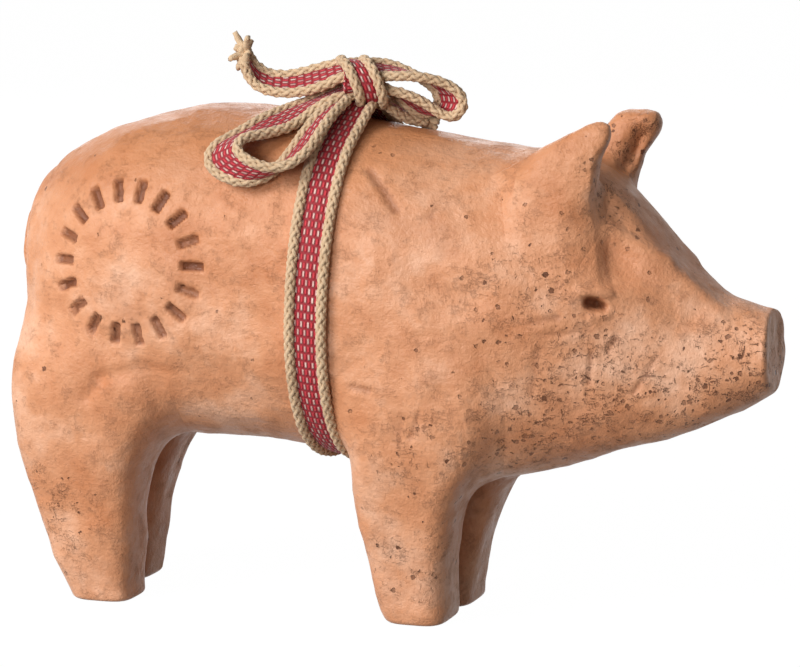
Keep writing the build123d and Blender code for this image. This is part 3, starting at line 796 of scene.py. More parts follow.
inset = np.concatenate([np.zeros(CAP_RINGS + BODY_RINGS), edge_inset, np.full(DISC_RINGS, edge_inset[-1])])
size = np.concatenate([cap_share, np.ones(BODY_RINGS + EDGE_RINGS), disc_share])
print(len(ring_x), "rings from rump to snout")

# %% [markdown]
# The columns lie closest on the right side, where the ring is pressed.

# %% Trunk mesh
middle, half, half_up = trunk_section(ring_x)
round_angle = np.linspace(0.0, 2 * np.pi, FINE_STEPS + 1)
column_weight = 1 + 1.5 * bell(round_angle, np.pi, 0.7)
angle = even_steps(round_angle, column_weight, TRUNK_COLUMNS + 1)[:-1]
across, up = superellipse(
    angle[None, :], ((half - inset) * size)[:, None], ((half_up - inset) * size)[:, None],
    trunk_fullness(ring_x)[:, None],
)
trunk_rings = np.stack(np.broadcast_arrays(ring_x[:, None], across, middle[:, None] + up), axis=-1)
finish_clay("pig_trunk", trunk_rings, "trunk")

# %% [markdown]
# ## Legs and ears that grow out of the trunk
#
# A leg was rolled, pushed onto the trunk and smoothed over. Remeshing leg and trunk together would
# blend them, but it would also fuse them. So a leg's rings first climb the leg itself, and then each
# column of points walks on over a rounded join and out onto the trunk. The walk follows the surface
# where a smooth blend of two distances is zero: the distance from the leg and the distance from the
# trunk. Past the join the skirt sinks under the trunk's skin, so the two pieces stay separate and no
# edge shows.


# %% Blended skirts
def limb_section(table, height, lean):
    """Middle and half sizes of a limb's section at a height, from a table of height, rear, front,
    outer and inner."""
    rear, front, outer, inner = (curve_through(table[:, 0], table[:, i], height) for i in (1, 2, 3, 4))
    return (rear + front) / 2 + lean * height, (outer + inner) / 2, (front - rear) / 2, (outer - inner) / 2


def limb_rings(table, heights, inset, foot_x, lean, side, fullness, columns):
    """Rings of a limb at given heights: superellipses of the table's sizes, drawn in by an inset."""
    x, y, half_long, half_wide = limb_section(table, heights, lean)
    angle = np.linspace(0.0, 2 * np.pi, columns, endpoint=False)
    across, wide = superellipse(
        angle[None, :], (half_long - inset)[:, None], (half_wide - inset)[:, None], fullness
    )
    return np.stack(np.broadcast_arrays(
        foot_x + x[:, None] + across, side * (y[:, None] + wide), heights[:, None]
    ), axis=-1)


def off_limb(points, table, foot_x, lean, side, fullness):
    """Signed distance of points from a limb: measured in the section at their height, or past its ends."""
    x, y, half_long, half_wide = limb_section(table, points[..., 2], lean)
    across, wide = points[..., 0] - foot_x - x, points[..., 1] * side - y
    off = outside_section(across, wide, half_long, half_wide, fullness)
    return np.maximum(off, np.maximum(points[..., 2] - table[-1, 0], table[0, 0] - points[..., 2]))


def smooth_least(one, other, reach):
    """The lesser of two distances, rounded off where they differ by less than reach."""
    near = np.maximum(reach - np.abs(one - other), 0.0) / reach
    return np.minimum(one, other) - near * near * reach / 4


# %% Walk onto the trunk
SKIRT_SINK, SKIRT_TUCK = 0.5, 2.0  # how far the skirt's edge goes under the skin, and its last row
PAST_JOIN_SHARE, ON_SKIN_SHARE = 1.15, 0.1  # of the join's reach


def walk_onto_trunk(start, off_piece, heading, reach, stride=0.45, strides=170, rows=84):
    """Rows of a skirt: each point walks by small strides along the blended surface, towards heading
    and away from the piece, until it is past the join. Its track is then cut into even rows."""
    def blended(points):
        """The distance from whichever is nearer, piece or trunk, rounded off at the join."""
        return smooth_least(off_piece(points), off_trunk(points), reach)

    track = [start]
    for _ in range(strides):
        here = track[-1]
        normal = slope_of(blended, here)
        way = np.array(heading) + slope_of(off_piece, here)
        way = unit(way - np.sum(way * normal, axis=-1, keepdims=True) * normal)
        there = here + stride * way
        track.append(there - blended(there)[:, None] * slope_of(blended, there))
    track = np.stack(track)
    past = (off_piece(track) > PAST_JOIN_SHARE * reach) & (off_trunk(track) < ON_SKIN_SHARE * reach)
    ends = np.where(past.any(axis=0), past.argmax(axis=0), strides).astype(float)
    at = np.linspace(0.0, 1.0, rows + 1)[1:, None] * ends[None, :]
    low = np.minimum(np.floor(at).astype(int), strides - 1)
    column = np.arange(track.shape[1])[None, :]
    part = (at - low)[..., None]
    skirt = track[low, column] * (1 - part) + track[low + 1, column] * part
    sink = SKIRT_SINK * ease(np.linspace(0.0, 1.0, rows), 0.6, 1.0)
    skirt -= slope_of(off_trunk, skirt) * sink[:, None, None]
    under = skirt[-1] - SKIRT_TUCK * slope_of(off_trunk, skirt[-1])
    return np.concatenate([skirt, under[None]])


# %% [markdown]
# The legs taper to small squarish soles with a narrow rounded edge. Each pair could be a leg and its
# mirror image, but a hand-built pig isn't that even: here the left rear foot stands back, and both
# left legs lean forward.

# %% Legs
# height, then rear and front edge from the foot's middle, and outer and inner face from the pig's middle
REAR_LEG = np.array((
    (0.0, -7.6, 5.8, 18.0, 3.8), (11.2, -12.6, 6.5, 19.7, 3.8), (19.8, -15.1, 7.2, 21.2, 4.0),
    (28.4, -17.4, 9.2, 22.8, 4.2), (37.0, -18.7, 12.6, 24.2, 4.7), (50.2, -18.5, 14.4, 24.6, 5.5),
    (66.0, -12.4, 11.7, 18.2, 7.7),
))
FRONT_LEG = np.array((
    (0.0, -6.6, 6.6, 18.0, 0.8), (6.6, -8.7, 6.8, 18.7, 0.8), (15.2, -10.7, 7.2, 19.8, 1.0),
    (25.1, -12.2, 9.2, 21.7, 1.2), (35.0, -12.4, 13.6, 23.7, 2.2), (50.2, -12.6, 17.0, 24.8, 4.4),
    (66.0, -7.3, 13.1, 19.3, 7.7),
))
# the left rear leg stands further back, so its back is slimmer and stays clear of the rump's end
SLIMMER_BACK, SLIMMER_SHARES = 3.0, np.array((0.0, 0.4, 0.7, 1.0, 1.0, 1.0, 1.0))
LEFT_REAR_LEG = REAR_LEG.copy()
LEFT_REAR_LEG[:, 1] += SLIMMER_BACK * SLIMMER_SHARES
LEG_FULLNESS, SOLE_EDGE, SOLE_STILL, SHANK_TOP, LEG_JOIN = 3.8, 1.0, 0.15, 19.0, 8.0
EDGE_STEPS, SHANK_STEPS, LEG_COLUMNS = 7, 30, 168
REAR_FOOT_X, LEFT_REAR_FOOT_X, FRONT_FOOT_X = -60.2, -65.2, 10.2
REAR_LEAN, FRONT_LEAN = 5.0 / REAR_LEG[-1, 0], 10.0 / FRONT_LEG[-1, 0]  # forward, over the leg's height


def build_leg(name, node, table, foot_x, lean, side):
    """Sole, shank and skirt of one leg: sections of the table up to the join, then the walk."""
    turn = np.linspace(0.0, 1.0, EDGE_STEPS) * np.pi / 2
    shank = np.linspace(SOLE_EDGE, SHANK_TOP, SHANK_STEPS)[1:]
    heights = np.concatenate([SOLE_EDGE * (1 - np.cos(turn)), shank])
    inset = np.concatenate([SOLE_EDGE * (1 - np.sin(turn)), np.zeros(len(shank))])
    rings = limb_rings(table, heights, inset, foot_x, lean, side, LEG_FULLNESS, LEG_COLUMNS)

    def off_leg(points):
        """Signed distance of points from this leg."""
        return off_limb(points, table, foot_x, lean, side, LEG_FULLNESS)

    skirt = walk_onto_trunk(rings[-1], off_leg, (lean, 0.0, 1.0), LEG_JOIN)
    rings = np.concatenate([rings, skirt])[:, ::side]
    finish_clay(name, rings, node, still_below=SOLE_STILL, grown_on=True)


build_leg("pig_leg_rear_right", "leg_rear_right", REAR_LEG, REAR_FOOT_X, 0.0, -1)
build_leg("pig_leg_rear_left", "leg_rear_left", LEFT_REAR_LEG, LEFT_REAR_FOOT_X, REAR_LEAN, 1)
build_leg("pig_leg_front_right", "leg_front_right", FRONT_LEG, FRONT_FOOT_X, 0.0, -1)
build_leg("pig_leg_front_left", "leg_front_left", FRONT_LEG, FRONT_FOOT_X, FRONT_LEAN, 1)

# %% [markdown]
# An ear is a thick fin pinched up from the neck: a long ramp behind, a blunt tip, and a steep
# front with a hollow. It could be pulled out of the trunk's own mesh, but it is a piece of its own,
# so its rings go down from the tip, and its skirt walks down onto the head as a leg's walks up.

# %% Ears
# height, then rear and front edge along the pig, and outer and inner face from the pig's middle
NEAR_EAR = np.array((
    (74.0, 25.0, 45.5, 17.0, 5.0), (84.0, 24.5, 47.5, 19.0, 6.5), (91.0, 26.5, 49.0, 19.2, 8.0),
    (96.0, 30.5, 50.2, 18.8, 9.6), (100.0, 36.0, 51.3, 18.2, 11.0), (103.0, 41.4, 52.0, 17.5, 12.0),
    (105.2, 45.2, 52.0, 16.8, 12.8), (106.4, 47.2, 51.4, 16.0, 13.4), (106.9, 48.6, 50.4, 15.4, 14.2),
))
FAR_EAR = np.array((
    (74.0, 32.0, 48.0, 17.0, 5.0), (84.0, 32.0, 50.0, 19.0, 6.5), (91.0, 34.0, 51.5, 19.4, 8.0),
    (96.0, 37.0, 53.0, 19.2, 8.8), (100.0, 40.4, 54.2, 18.8, 9.6), (103.0, 43.0, 54.9, 18.2, 10.2),
    (105.2, 45.0, 54.6, 17.4, 11.0), (106.4, 46.4, 53.6, 16.6, 12.0), (106.9, 48.0, 52.0, 15.6, 13.4),
))
EAR_FULLNESS, EAR_JOIN, EAR_JOIN_TOP, EAR_COLUMNS = 2.8, 5.0, 104.0, 150


def build_ear(name, node, table, side):
    """Tip and skirt of one ear: sections of the table down from the tip, then the walk."""
    tip, shoulder = table[-1, 0], table[-2, 0]
    heights = np.concatenate([np.linspace(tip, shoulder, 5), np.linspace(shoulder, EAR_JOIN_TOP, 9)[1:]])
    rings = limb_rings(table, heights, 0.0, 0.0, 0.0, side, EAR_FULLNESS, EAR_COLUMNS)

    def off_ear(points):
        """Signed distance of points from this ear."""
        return off_limb(points, table, 0.0, 0.0, side, EAR_FULLNESS)

    down = (0.0, 0.0, -1.0)
    skirt = walk_onto_trunk(rings[-1], off_ear, down, EAR_JOIN, stride=0.3, strides=130, rows=80)
    finish_clay(name, np.concatenate([rings, skirt])[:, ::-side], node, grown_on=True)


build_ear("pig_ear_right", "ear_right", NEAR_EAR, -1)
build_ear("pig_ear_left", "ear_left", FAR_EAR, 1)

# %% [markdown]
# The tail is a flat strip of clay that was laid down the middle of the rump. A bevelled curve would
# have the same section all along. Here the section is a superellipse that is rounded off at both
# ends, carried down a short curved path.

# %% Tail
TAIL_PATH = np.array((
    (-80.0, -1.4, 84.2), (-81.4, -1.6, 81.0), (-82.0, -2.0, 77.0), (-82.1, -2.2, 73.0),
    (-81.8, -1.8, 68.9),
))
TAIL_HALF_WIDTH, TAIL_HALF_THICKNESS, TAIL_FULLNESS, TAIL_TIP_SHARE = 3.4, 1.5, 2.6, 0.02
TAIL_RINGS, TAIL_COLUMNS = 46, 60
at = np.linspace(0.0, 1.0, TAIL_RINGS)
shares = np.linspace(0.0, 1.0, len(TAIL_PATH))
path = np.stack([curve_through(shares, TAIL_PATH[:, i], at) for i in range(3)], axis=-1)
round_off = np.sqrt(np.maximum(1 - (2 * at - 1) ** 6, TAIL_TIP_SHARE**2))[:, None]
angle = np.linspace(0.0, 2 * np.pi, TAIL_COLUMNS, endpoint=False)[None, :]
wide, thick = superellipse(
    angle, TAIL_HALF_WIDTH * round_off, TAIL_HALF_THICKNESS * round_off, TAIL_FULLNESS
)
way = unit(np.gradient(path, axis=0))
side = np.array((0.0, 1.0, 0.0))
out = np.cross(way, side)
tail_rings = path[:, None, :] + wide[..., None] * side + thick[..., None] * out[:, None, :]
finish_clay("pig_tail", tail_rings, "tail")

# %% [markdown]
# ## Braided cord
#
# The cord is a round braid of eight yarns: four wind one way and four the other, and each goes
# over one neighbour and under the next. A bevelled curve with a bump map would keep a smooth outline,
# so every yarn is a tube of its own here. It is a helix whose radius swells and shrinks once per
# crossing; the two hands swell in turn. A free cord follows a smooth spline that its route's points
# pull into shape, and the braid is carried along that line.


# %% Yarns
def steps_along(points, axis, closed):
    """Steps along a line, from the point behind to the point ahead; a closed line goes on round."""
    if closed:
        return np.roll(points, -1, axis=axis) - np.roll(points, 1, axis=axis)
    return np.gradient(points, axis=axis)


def yarns_mesh(name, skin, crown, closed):
    """Yarns as tubes, from points (yarn, row, side, 3). Each tube is a stack of rings with a flat face
    at both ends, or goes round. Crown is how far out on the cord each point lies, for the painted
    shade between the yarns in the colour."""
    yarns, rows, sides = skin.shape[:3]
    row, column = ring_faces(rows, sides, closed)
    quads = (row % rows) * sides + column % sides
    block = np.arange(yarns)[:, None, None] * rows * sides
    faces = [(block + quads[None]).reshape(-1, 4)]
    if not closed:
        around = np.arange(sides)
        faces.append(block[:, 0] + around[None, ::-1])
        faces.append(block[:, 0] + (rows - 1) * sides + around[None, :])
    mesh = mesh_of(name, skin.reshape(-1, 3), *faces)
    layer = mesh.attributes.new("crown", "FLOAT", "POINT")
    layer.data.foreach_set("value", crown.astype(np.float32).ravel())
    return mesh


# %% Braid
CORD_RADIUS, YARN_RADIUS, BRAID_SWELL, BRAID_LEAD, BRAID_HAND = 1.2, 0.44, 0.12, 9.6, 4
YARN_SIDES, YARN_SPREAD, FUZZ_HEIGHT, FUZZ_SIZE = 6, 1.12, 0.09, 0.6


def braid_mesh(name, line, side, closed):
    """Eight yarns round a line. Along it, a yarn's angle grows evenly, and its distance from the line
    is a mean plus a swell times the cosine of its crossings. Side is a direction across the line."""
    step = np.linalg.norm(np.diff(line, axis=0, append=line[:1] if closed else line[-1:]), axis=-1)
    length = step.sum()
    travelled = np.concatenate([[0.0], np.cumsum(step)[:-1]])
    leads = np.round(length / BRAID_LEAD) if closed else length / BRAID_LEAD
    phase = 2 * np.pi * leads * travelled / length
    forward = unit(steps_along(line, 0, closed))
    first = unit(side - np.sum(side * forward, axis=-1, keepdims=True) * forward)
    second = np.cross(forward, first)
    hand = np.repeat((1.0, -1.0), BRAID_HAND)[:, None]
    start = np.tile(np.arange(BRAID_HAND), 2)[:, None] * 2 * np.pi / BRAID_HAND
    turn = hand * phase[None, :] + start
    swell = hand * BRAID_SWELL * np.cos(BRAID_HAND * phase)[None, :]
    reach = CORD_RADIUS - YARN_RADIUS - BRAID_SWELL + swell
    outward = np.cos(turn)[..., None] * first + np.sin(turn)[..., None] * second
    yarn = line + reach[..., None] * outward
    beside = np.cross(unit(steps_along(yarn, 1, closed)), outward)
    angle = np.linspace(0.0, 2 * np.pi, YARN_SIDES, endpoint=False)[None, None, :, None]
    skin = yarn[:, :, None] + YARN_RADIUS * (
        np.cos(angle) * outward[:, :, None] + YARN_SPREAD * np.sin(angle) * beside[:, :, None]
    )
    skin += FUZZ_HEIGHT * lumps(skin, FUZZ_SIZE, 7)[..., None] * outward[:, :, None]
    crown = np.linalg.norm(skin - line[None, :, None], axis=-1) / CORD_RADIUS
    return yarns_mesh(name, skin, crown, closed), length


def even_line(points, spacing, closed=False):
    """The same line with points at an even spacing, interpolated in the length travelled along it."""
    if closed:
        points = np.concatenate([points, points[:1]])
    travelled = np.concatenate([[0.0], np.cumsum(np.linalg.norm(np.diff(points, axis=0), axis=-1))])
    count = int(np.ceil(travelled[-1] / spacing)) + 1
    at = np.linspace(0.0, travelled[-1], count)
    line = np.stack([np.interp(at, travelled, points[:, i]) for i in range(3)], axis=-1)
    return line[:-1] if closed else line


# %% [markdown]
# ## Woven tape
#
# The tape is a thin strip with a rounded section between its two cords. A cloth simulation could
# drape it, but the cords already say where it lies, so its section is carried between them. Its UV
# map holds millimetres along and across, for the weave.

# %% Tape
TAPE_THICKNESS, TAPE_INSET, TAPE_COLUMNS, TAPE_EDGE_POWER = 0.8, 0.75 * CORD_RADIUS, 32, 0.35


def tape_mesh(name, near, far, closed, bulge=0.0, inset=TAPE_INSET, up=None):
    """A flat rounded section between two lines. Across it, the place runs from one edge to the other
    and back, as a cosine, and the thickness is the sine to a small power, so that it stays even."""
    across = far - near
    middle = (near + far) / 2
    face = unit(np.cross(steps_along(middle, 0, closed), across) if up is None else up)
    angle = np.linspace(0.0, 2 * np.pi, TAPE_COLUMNS, endpoint=False)
    place = np.cos(angle)
    lift = np.sign(np.sin(angle)) * np.abs(np.sin(angle)) ** TAPE_EDGE_POWER * TAPE_THICKNESS / 2
    half = (np.linalg.norm(across, axis=-1) / 2 - inset)[:, None]
    rise = lift[None, :] + bulge * (1 - place**2)[None, :]
    rings = middle[:, None] + (half * place[None, :])[..., None] * unit(across)[:, None]
    rings = rings + rise[..., None] * face[:, None]
    rows, columns = rings.shape[:2]
    row, column = ring_faces(rows, columns, closed)
    faces = [(row % rows) * columns + column % columns]
    step = np.linalg.norm(np.diff(middle, axis=0, append=middle[:1]), axis=-1)
    travelled = np.concatenate([[0.0], np.cumsum(step)])
    if closed:
        travelled *= np.round(travelled[-1] / (2 * ROW_PITCH)) * 2 * ROW_PITCH / travelled[-1]
    flat = np.stack([travelled[row], place[column % columns] * half[row % rows, 0]], axis=-1)
    flat = flat.reshape(-1, 2)
    if not closed:
        around = np.arange(columns)
        faces += [around[None, ::-1], ((rows - 1) * columns + around)[None]]
        ends = np.repeat(travelled[[0, rows - 1]], columns)
        flat = np.concatenate([flat, np.stack([ends, np.tile(place * half[0, 0], 2)], axis=-1)])
    mesh = mesh_of(name, rings.reshape(-1, 3), *faces)
    mesh.uv_layers.new(name="weave").data.foreach_set("uv", flat.astype(np.float32).ravel())
    corner = rings[1, 0]
    if np.sum(np.cross(rings[1, 1] - corner, rings[2, 0] - corner) * (corner - middle[1])) < 0:
        mesh.flip_normals()
    return mesh


# %% [markdown]
# ## Ribbon round the body
#
# The ribbon is drawn tight round the trunk just behind the front legs, and leans forward a little
# at the top. Shrinking a loop onto the clay would find the line too, but the trunk's own section,
# raised by half the cord's thickness, gives it at once. On the back it is pulled up into the knot.

# %% Turns of ribbon
def round_side(line):
    """Outward direction of a closed line, away from its middle."""
    return line - line.mean(axis=0)


def build_turn(name, turn_at, pitch, spacing, cord_rise, tape_rise, bulge, inset):
    """Two cords and the tape between them, round a closed turn. The turn is a function of a place
    along the pig, which is the pitch either way, and of the height above what lies in the turn."""
    for edge, offset in (("rear", -pitch), ("front", pitch)):
        line = even_line(turn_at(offset, cord_rise), spacing, closed=True)
        mesh, length = braid_mesh(f"{name}_{edge}_cord_braid", line, round_side(line), closed=True)
        add_piece(mesh, undyed_cord, "cord", f"{name}_{edge}_cord")
        print(name, edge, "cord is", round(length), "mm round")
    near, far = (turn_at(offset, tape_rise) for offset in (-pitch, pitch))
    mesh = tape_mesh(f"{name}_tape_weave", near, far, True, bulge, inset, up=round_side(near))
    add_piece(mesh, red_tape, "tape", f"{name}_tape")


# %% Wrap
WRAP_X, WRAP_TILT, WRAP_MIDDLE, RIBBON_PITCH = -7.2, math.radians(1.5), 69.5, 3.45
CORD_PRESS, WRAP_SPACING, WRAP_TAPE_RISE, WRAP_TAPE_BULGE = 0.1, 0.36, 0.55, 0.25
DRAWN_UP, DRAWN_UP_Y, DRAWN_UP_REACH = 3.0, -1.5, 7.0
SLACK, SLACK_HEIGHT, SLACK_REACH, SLACK_EASE = 1.9, 60.0, 38.0, 20.0


def turn_round_body(offset, rise):
    """Closed line round the trunk in a leaning plane: the trunk's section at that place, raised off the
    skin, slipped back a little on the near side, and drawn up to the knot at the top."""
    angle = np.linspace(0.0, 2 * np.pi, 721)[:-1]
    height = np.full(angle.shape, trunk_section(np.array(WRAP_X))[0])
    for _ in range(3):
        x = WRAP_X + offset + np.tan(WRAP_TILT) * (height - WRAP_MIDDLE)
        middle, half, half_up = trunk_section(x)
        across, up = superellipse(angle, half + rise, half_up + rise, trunk_fullness(x))
        height = middle + up
    drawn_up = DRAWN_UP * bell(across, DRAWN_UP_Y, DRAWN_UP_REACH) * (up > 0)
    slack = SLACK * bell(height, SLACK_HEIGHT, SLACK_REACH) * ease(-across, 0.0, SLACK_EASE)
    return np.stack([x - slack, across, height + drawn_up], axis=-1)


build_turn(
    "wrap", turn_round_body, RIBBON_PITCH, WRAP_SPACING,
    CORD_RADIUS - CORD_PRESS, WRAP_TAPE_RISE, WRAP_TAPE_BULGE, TAPE_INSET,
)

# %% [markdown]
# ## Bow
#
# The bow is tied from the ribbon's two ends. One end goes round the right-hand loop and out as the
# upper tail, and the other goes round the loop that hangs over the near side and out as the lower
# tail. Each edge cord is one line from the knot, round its loop, back through the knot and out to
# the frayed end. A simulation would settle into some bow, but not this one, so the points of each
# line are listed, in mm from the knot's middle. They are the CAD routes, moved by up to 2 mm
# in places. The right-hand loop has one more point on each cord, to round its fold, and the lower
# tail ends about 3 mm sooner.

# %% Bow routes
KNOT_DROP, SPLINE_STEPS, SPLINE_ORDER = 0.5, 20, 3
KNOT = np.mean(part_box("knot_core"), axis=0) / MM - np.array((0.0, 0.0, KNOT_DROP))
RIGHT_LOOP = dict(
    near=((4.2, -1.8, 1.4), (8, -1.5, 1.6), (12.5, -0.5, 1.6), (16.6, 1.1, 0.7), (19.6, 2.4, -0.8),
          (21.5, 3.1, -2.8), (21.5, 3.4, -5.2), (19.7, 3.4, -7.2), (17.1, 3, -6.8), (14.2, 2, -4.6),
          (11.2, 0.5, -2.8), (8, -0.8, -1.7), (4.2, -1.6, -1)),
    far=((1.8, 4, 4), (5, 4.6, 3.6), (8.4, 5.2, 2.3), (11, 5.6, 0.9), (13.4, 6.1, -0.6),
         (15, 6.5, -2.6), (14.9, 6.7, -5), (13, 6.8, -6.8), (10.5, 6.4, -6.8), (8.4, 5.8, -5.3),
         (6.6, 5.3, -3.6), (4.6, 4.8, -1.9), (2, 4.2, -0.2)),
)
UPPER_TAIL = dict(
    near=((-2, -3.8, 1.9), (-6.5, -4.5, -0.6), (-12, -5.2, -2.2), (-17.5, -5.8, -2.2),
          (-21.5, -6.2, -0.8), (-23.2, -6.6, 1.8), (-23.8, -6.8, 3.8)),
    far=((-4.2, 0.8, 4), (-9, 0.2, 3), (-13.5, -0.8, 1.6), (-18.5, -1.6, 1),
         (-22, -2.2, 2.4), (-24, -2.6, 4.6), (-24.8, -2.8, 6.4)),
)
NEAR_LOOP = dict(
    near=((-0.9, -6, -3.2), (-1.5, -11.5, -5), (-2.5, -17.5, -8.5), (-3.5, -22.5, -12.5),
          (-6.5, -26, -15.5), (-11, -27.5, -16), (-15.5, -27, -14.5), (-18.6, -25.8, -12.4),
          (-17.9, -22.8, -10.2), (-14.4, -18.2, -9.8), (-10.5, -13, -8.5), (-8.3, -9.5, -6.2),
          (-5.4, -7, -3.8), (-1.8, -3.6, -2.4)),
    far=((-2.6, -2.6, -3.2), (-4.0, -8, -4.0), (-6.4, -13.5, -7.6), (-8.8, -18.5, -13),
         (-11.5, -22.8, -17.8), (-16, -25.2, -19.5), (-21, -25.6, -18.6), (-25.5, -24.2, -15.8),
         (-25, -21.8, -12.2), (-21, -17.6, -9.8), (-17.5, -11.8, -6.9), (-14.6, -6.2, -5.5),
         (-10.4, -2, -3.8), (-4, 1.2, -0.2)),
)
LOWER_TAIL = dict(
    near=((3.6, -0.4, -3.2), (5.6, 2.0, -5.4), (7.6, 4.4, -7.4), (9.8, 6.4, -8.5), (12, 8, -8.8)),
    far=((1.9, 4, -3.2), (4.0, 7.2, -4.6), (6.6, 9.4, -6.2), (9.2, 11, -7.2), (11.4, 12.2, -8)),
)


def spline_line(name, route):
    """Points of the smooth NURBS line with the route as its control points, read back from Blender."""
    curve = bpy.data.curves.new(name, "CURVE")
    curve.dimensions = "3D"
    curve.resolution_u = SPLINE_STEPS
    spline = curve.splines.new("NURBS")
    spline.points.add(len(route) - 1)
    spline.points.foreach_set("co", np.column_stack([route * MM, np.ones(len(route))]).ravel())
    spline.order_u = SPLINE_ORDER
    spline.use_endpoint_u = True
    holder = bpy.data.objects.new(name, curve)
    mesh = bpy.data.meshes.new_from_object(holder)
    points = np.empty(len(mesh.vertices) * 3)
    mesh.vertices.foreach_get("co", points)
    bpy.data.objects.remove(holder)
    bpy.data.curves.remove(curve)
    bpy.data.meshes.remove(mesh)
    return points.reshape(-1, 3) / MM


# %% [markdown]
# At its cut end the ribbon frays: the yarns part, and stand off in a small cream brush. Hair could
# be grown there, but a dozen thick tapering tubes look the same from this far, and export as a mesh.

# %% Frayed ends
FRAY_YARNS, FRAY_SEED, FRAY_ROWS, FRAY_SIDES, FRAY_CROWN = 13, 5, 14, 10, 1.25
FRAY_RADIUS, FRAY_TAPER, FRAY_BEND, FRAY_TUCK, FRAY_LUMP, FRAY_LUMP_SIZE = 0.95, 0.35, 1.3, 0.6, 0.25, 0.7
FRAY_SCATTER = np.array((0.15, 0.25, 0.25))
ASIDE = np.array((0.31, 0.85, 0.42))  # a direction that no yarn runs along


def fray_mesh(name, root, way, spread, length):
    """A brush of tapering yarns: each starts at a place across the ribbon's end, leaves along the
    ribbon's way and bends off to its own side, as a parabola."""
    index = np.arange(FRAY_YARNS)
    cells = np.stack([index, index * 0.0 + FRAY_SEED, index * 0.0], axis=-1)
    lots = np.stack([lattice(cells + np.array((0.0, 0.0, k)), FRAY_SEED) for k in range(6)], axis=-1)
    start = root + lots[:, :1] * spread + lots[:, 1:2] * FRAY_SCATTER
    bend = lots[:, 2:5] * FRAY_BEND
    long = length * (0.75 + 0.35 * lots[:, 5:6])
    part = np.linspace(0.0, 1.0, FRAY_ROWS)
    line = start[:, None] + long[:, None] * (
        part[None, :, None] * way + (part**2)[None, :, None] * bend[:, None]
    )
    along = unit(steps_along(line, 1, closed=False))
    first = unit(np.cross(along, ASIDE))[:, :, None]
    second = np.cross(along, first[:, :, 0])[:, :, None]
    angle = np.linspace(0.0, 2 * np.pi, FRAY_SIDES, endpoint=False)[None, None, :, None]
    radius = (FRAY_RADIUS * (1 - FRAY_TAPER * part**2))[None, :, None, None]
    skin = line[:, :, None] + radius * (np.cos(angle) * first + np.sin(angle) * second)
    skin += FRAY_LUMP * np.stack([lumps(skin, FRAY_LUMP_SIZE, FRAY_SEED + k) for k in range(3)], axis=-1)
    return yarns_mesh(name, skin, np.full(skin.shape[:3], FRAY_CROWN), closed=False)


# %% [markdown]
# The two ribbons of the bow are made alike, so one function makes both: a line for each cord, a
# braid on it, and the tape between the two.

# %% Bow
BOW_SPACING, RIGHT_FRAY, NEAR_FRAY = 0.3, 2.5, 2.6


def build_ribbon(name, loop, tail, nodes, fray_length):
    """Cords, tape and frayed end of one end of the ribbon, from the knot round its loop and out along
    its tail. A cord's side is the direction to the other cord, at the same share of the way."""
    lines = {}
    for edge in ("near", "far"):
        route = KNOT + np.array((*loop[edge], *tail[edge]), dtype=float)
        lines[edge] = spline_line(f"{name}_{edge}_line", route)
    tape = tape_mesh(f"{name}_tape_weave", lines["near"], lines["far"], closed=False)
    on_it = [add_piece(tape, red_tape, "tape", *(f"{node}_tape" for node in nodes))]
    ends = np.stack([lines[edge][-1] for edge in lines])
    way = unit(np.mean([lines[edge][-1] - lines[edge][-4] for edge in lines], axis=0))
    root = ends.mean(axis=0) - FRAY_TUCK * way
    fray = fray_mesh(f"{name}_frayed_end", root, way, (ends[1] - ends[0]) / 2, fray_length)
    on_it.append(add_piece(fray, undyed_cord, "cord"))
    for edge, other in (("near", "far"), ("far", "near")):
        line = even_line(lines[edge], BOW_SPACING)
        partner = even_line(lines[other], BOW_SPACING)
        partner = partner[np.linspace(0, len(partner) - 1, len(line)).round().astype(int)]
        mesh, length = braid_mesh(f"{name}_{edge}_cord_braid", line, partner - line, closed=False)
        cord = add_piece(mesh, undyed_cord, "cord", *(f"{node}_{edge}_cord" for node in nodes))
        print(name, edge, "cord is", round(length, 1), "mm long")


flip = {edge: tuple(reversed(points)) for edge, points in RIGHT_LOOP.items()}
build_ribbon("right_ribbon", flip, UPPER_TAIL, ("right_loop", "upper_tail"), RIGHT_FRAY)
build_ribbon("near_ribbon", NEAR_LOOP, LOWER_TAIL, ("near_loop", "lower_tail"), NEAR_FRAY)

# %% [markdown]
# ## Knot
#
# One turn of the ribbon goes round the middle of the bow and gathers it. The real ribbon runs on
# inside, but only the turn and a little of the bunched ribbon can be seen. So the turn is a closed
# superellipse in a plane across the bow, made as the wrap is, and a core with pleats fills it.

# %% Knot
KNOT_WIDTH, KNOT_HEIGHT, KNOT_LENGTH, KNOT_TURN = 9.4, 7.0, 8.0, math.radians(24.0)
KNOT_FULLNESS, KNOT_LEAN, KNOT_BOW, KNOT_PITCH = 2.3, 0.38, 0.8, 2.4
KNOT_TAPE_RISE, KNOT_TAPE_BULGE, KNOT_TAPE_INSET = 0.6, 0.5, 0.5
bow_way = np.array((math.cos(KNOT_TURN), math.sin(KNOT_TURN), 0.0))
bow_side = np.array((-math.sin(KNOT_TURN), math.cos(KNOT_TURN), 0.0))
upward = np.array((0.0, 0.0, 1.0))


def turn_round_knot(offset, rise):
    """Closed line round the knot: a superellipse whose near side bows along the ribbon."""
    angle = np.linspace(0.0, 2 * np.pi, 361)[:-1]
    across, up = superellipse(angle, KNOT_WIDTH / 2 + rise, KNOT_HEIGHT / 2 + rise, KNOT_FULLNESS)
    lean = offset - KNOT_LEAN * up + KNOT_BOW * np.maximum(-np.cos(angle), 0.0)
    return KNOT + across[:, None] * bow_side + up[:, None] * upward + lean[:, None] * bow_way


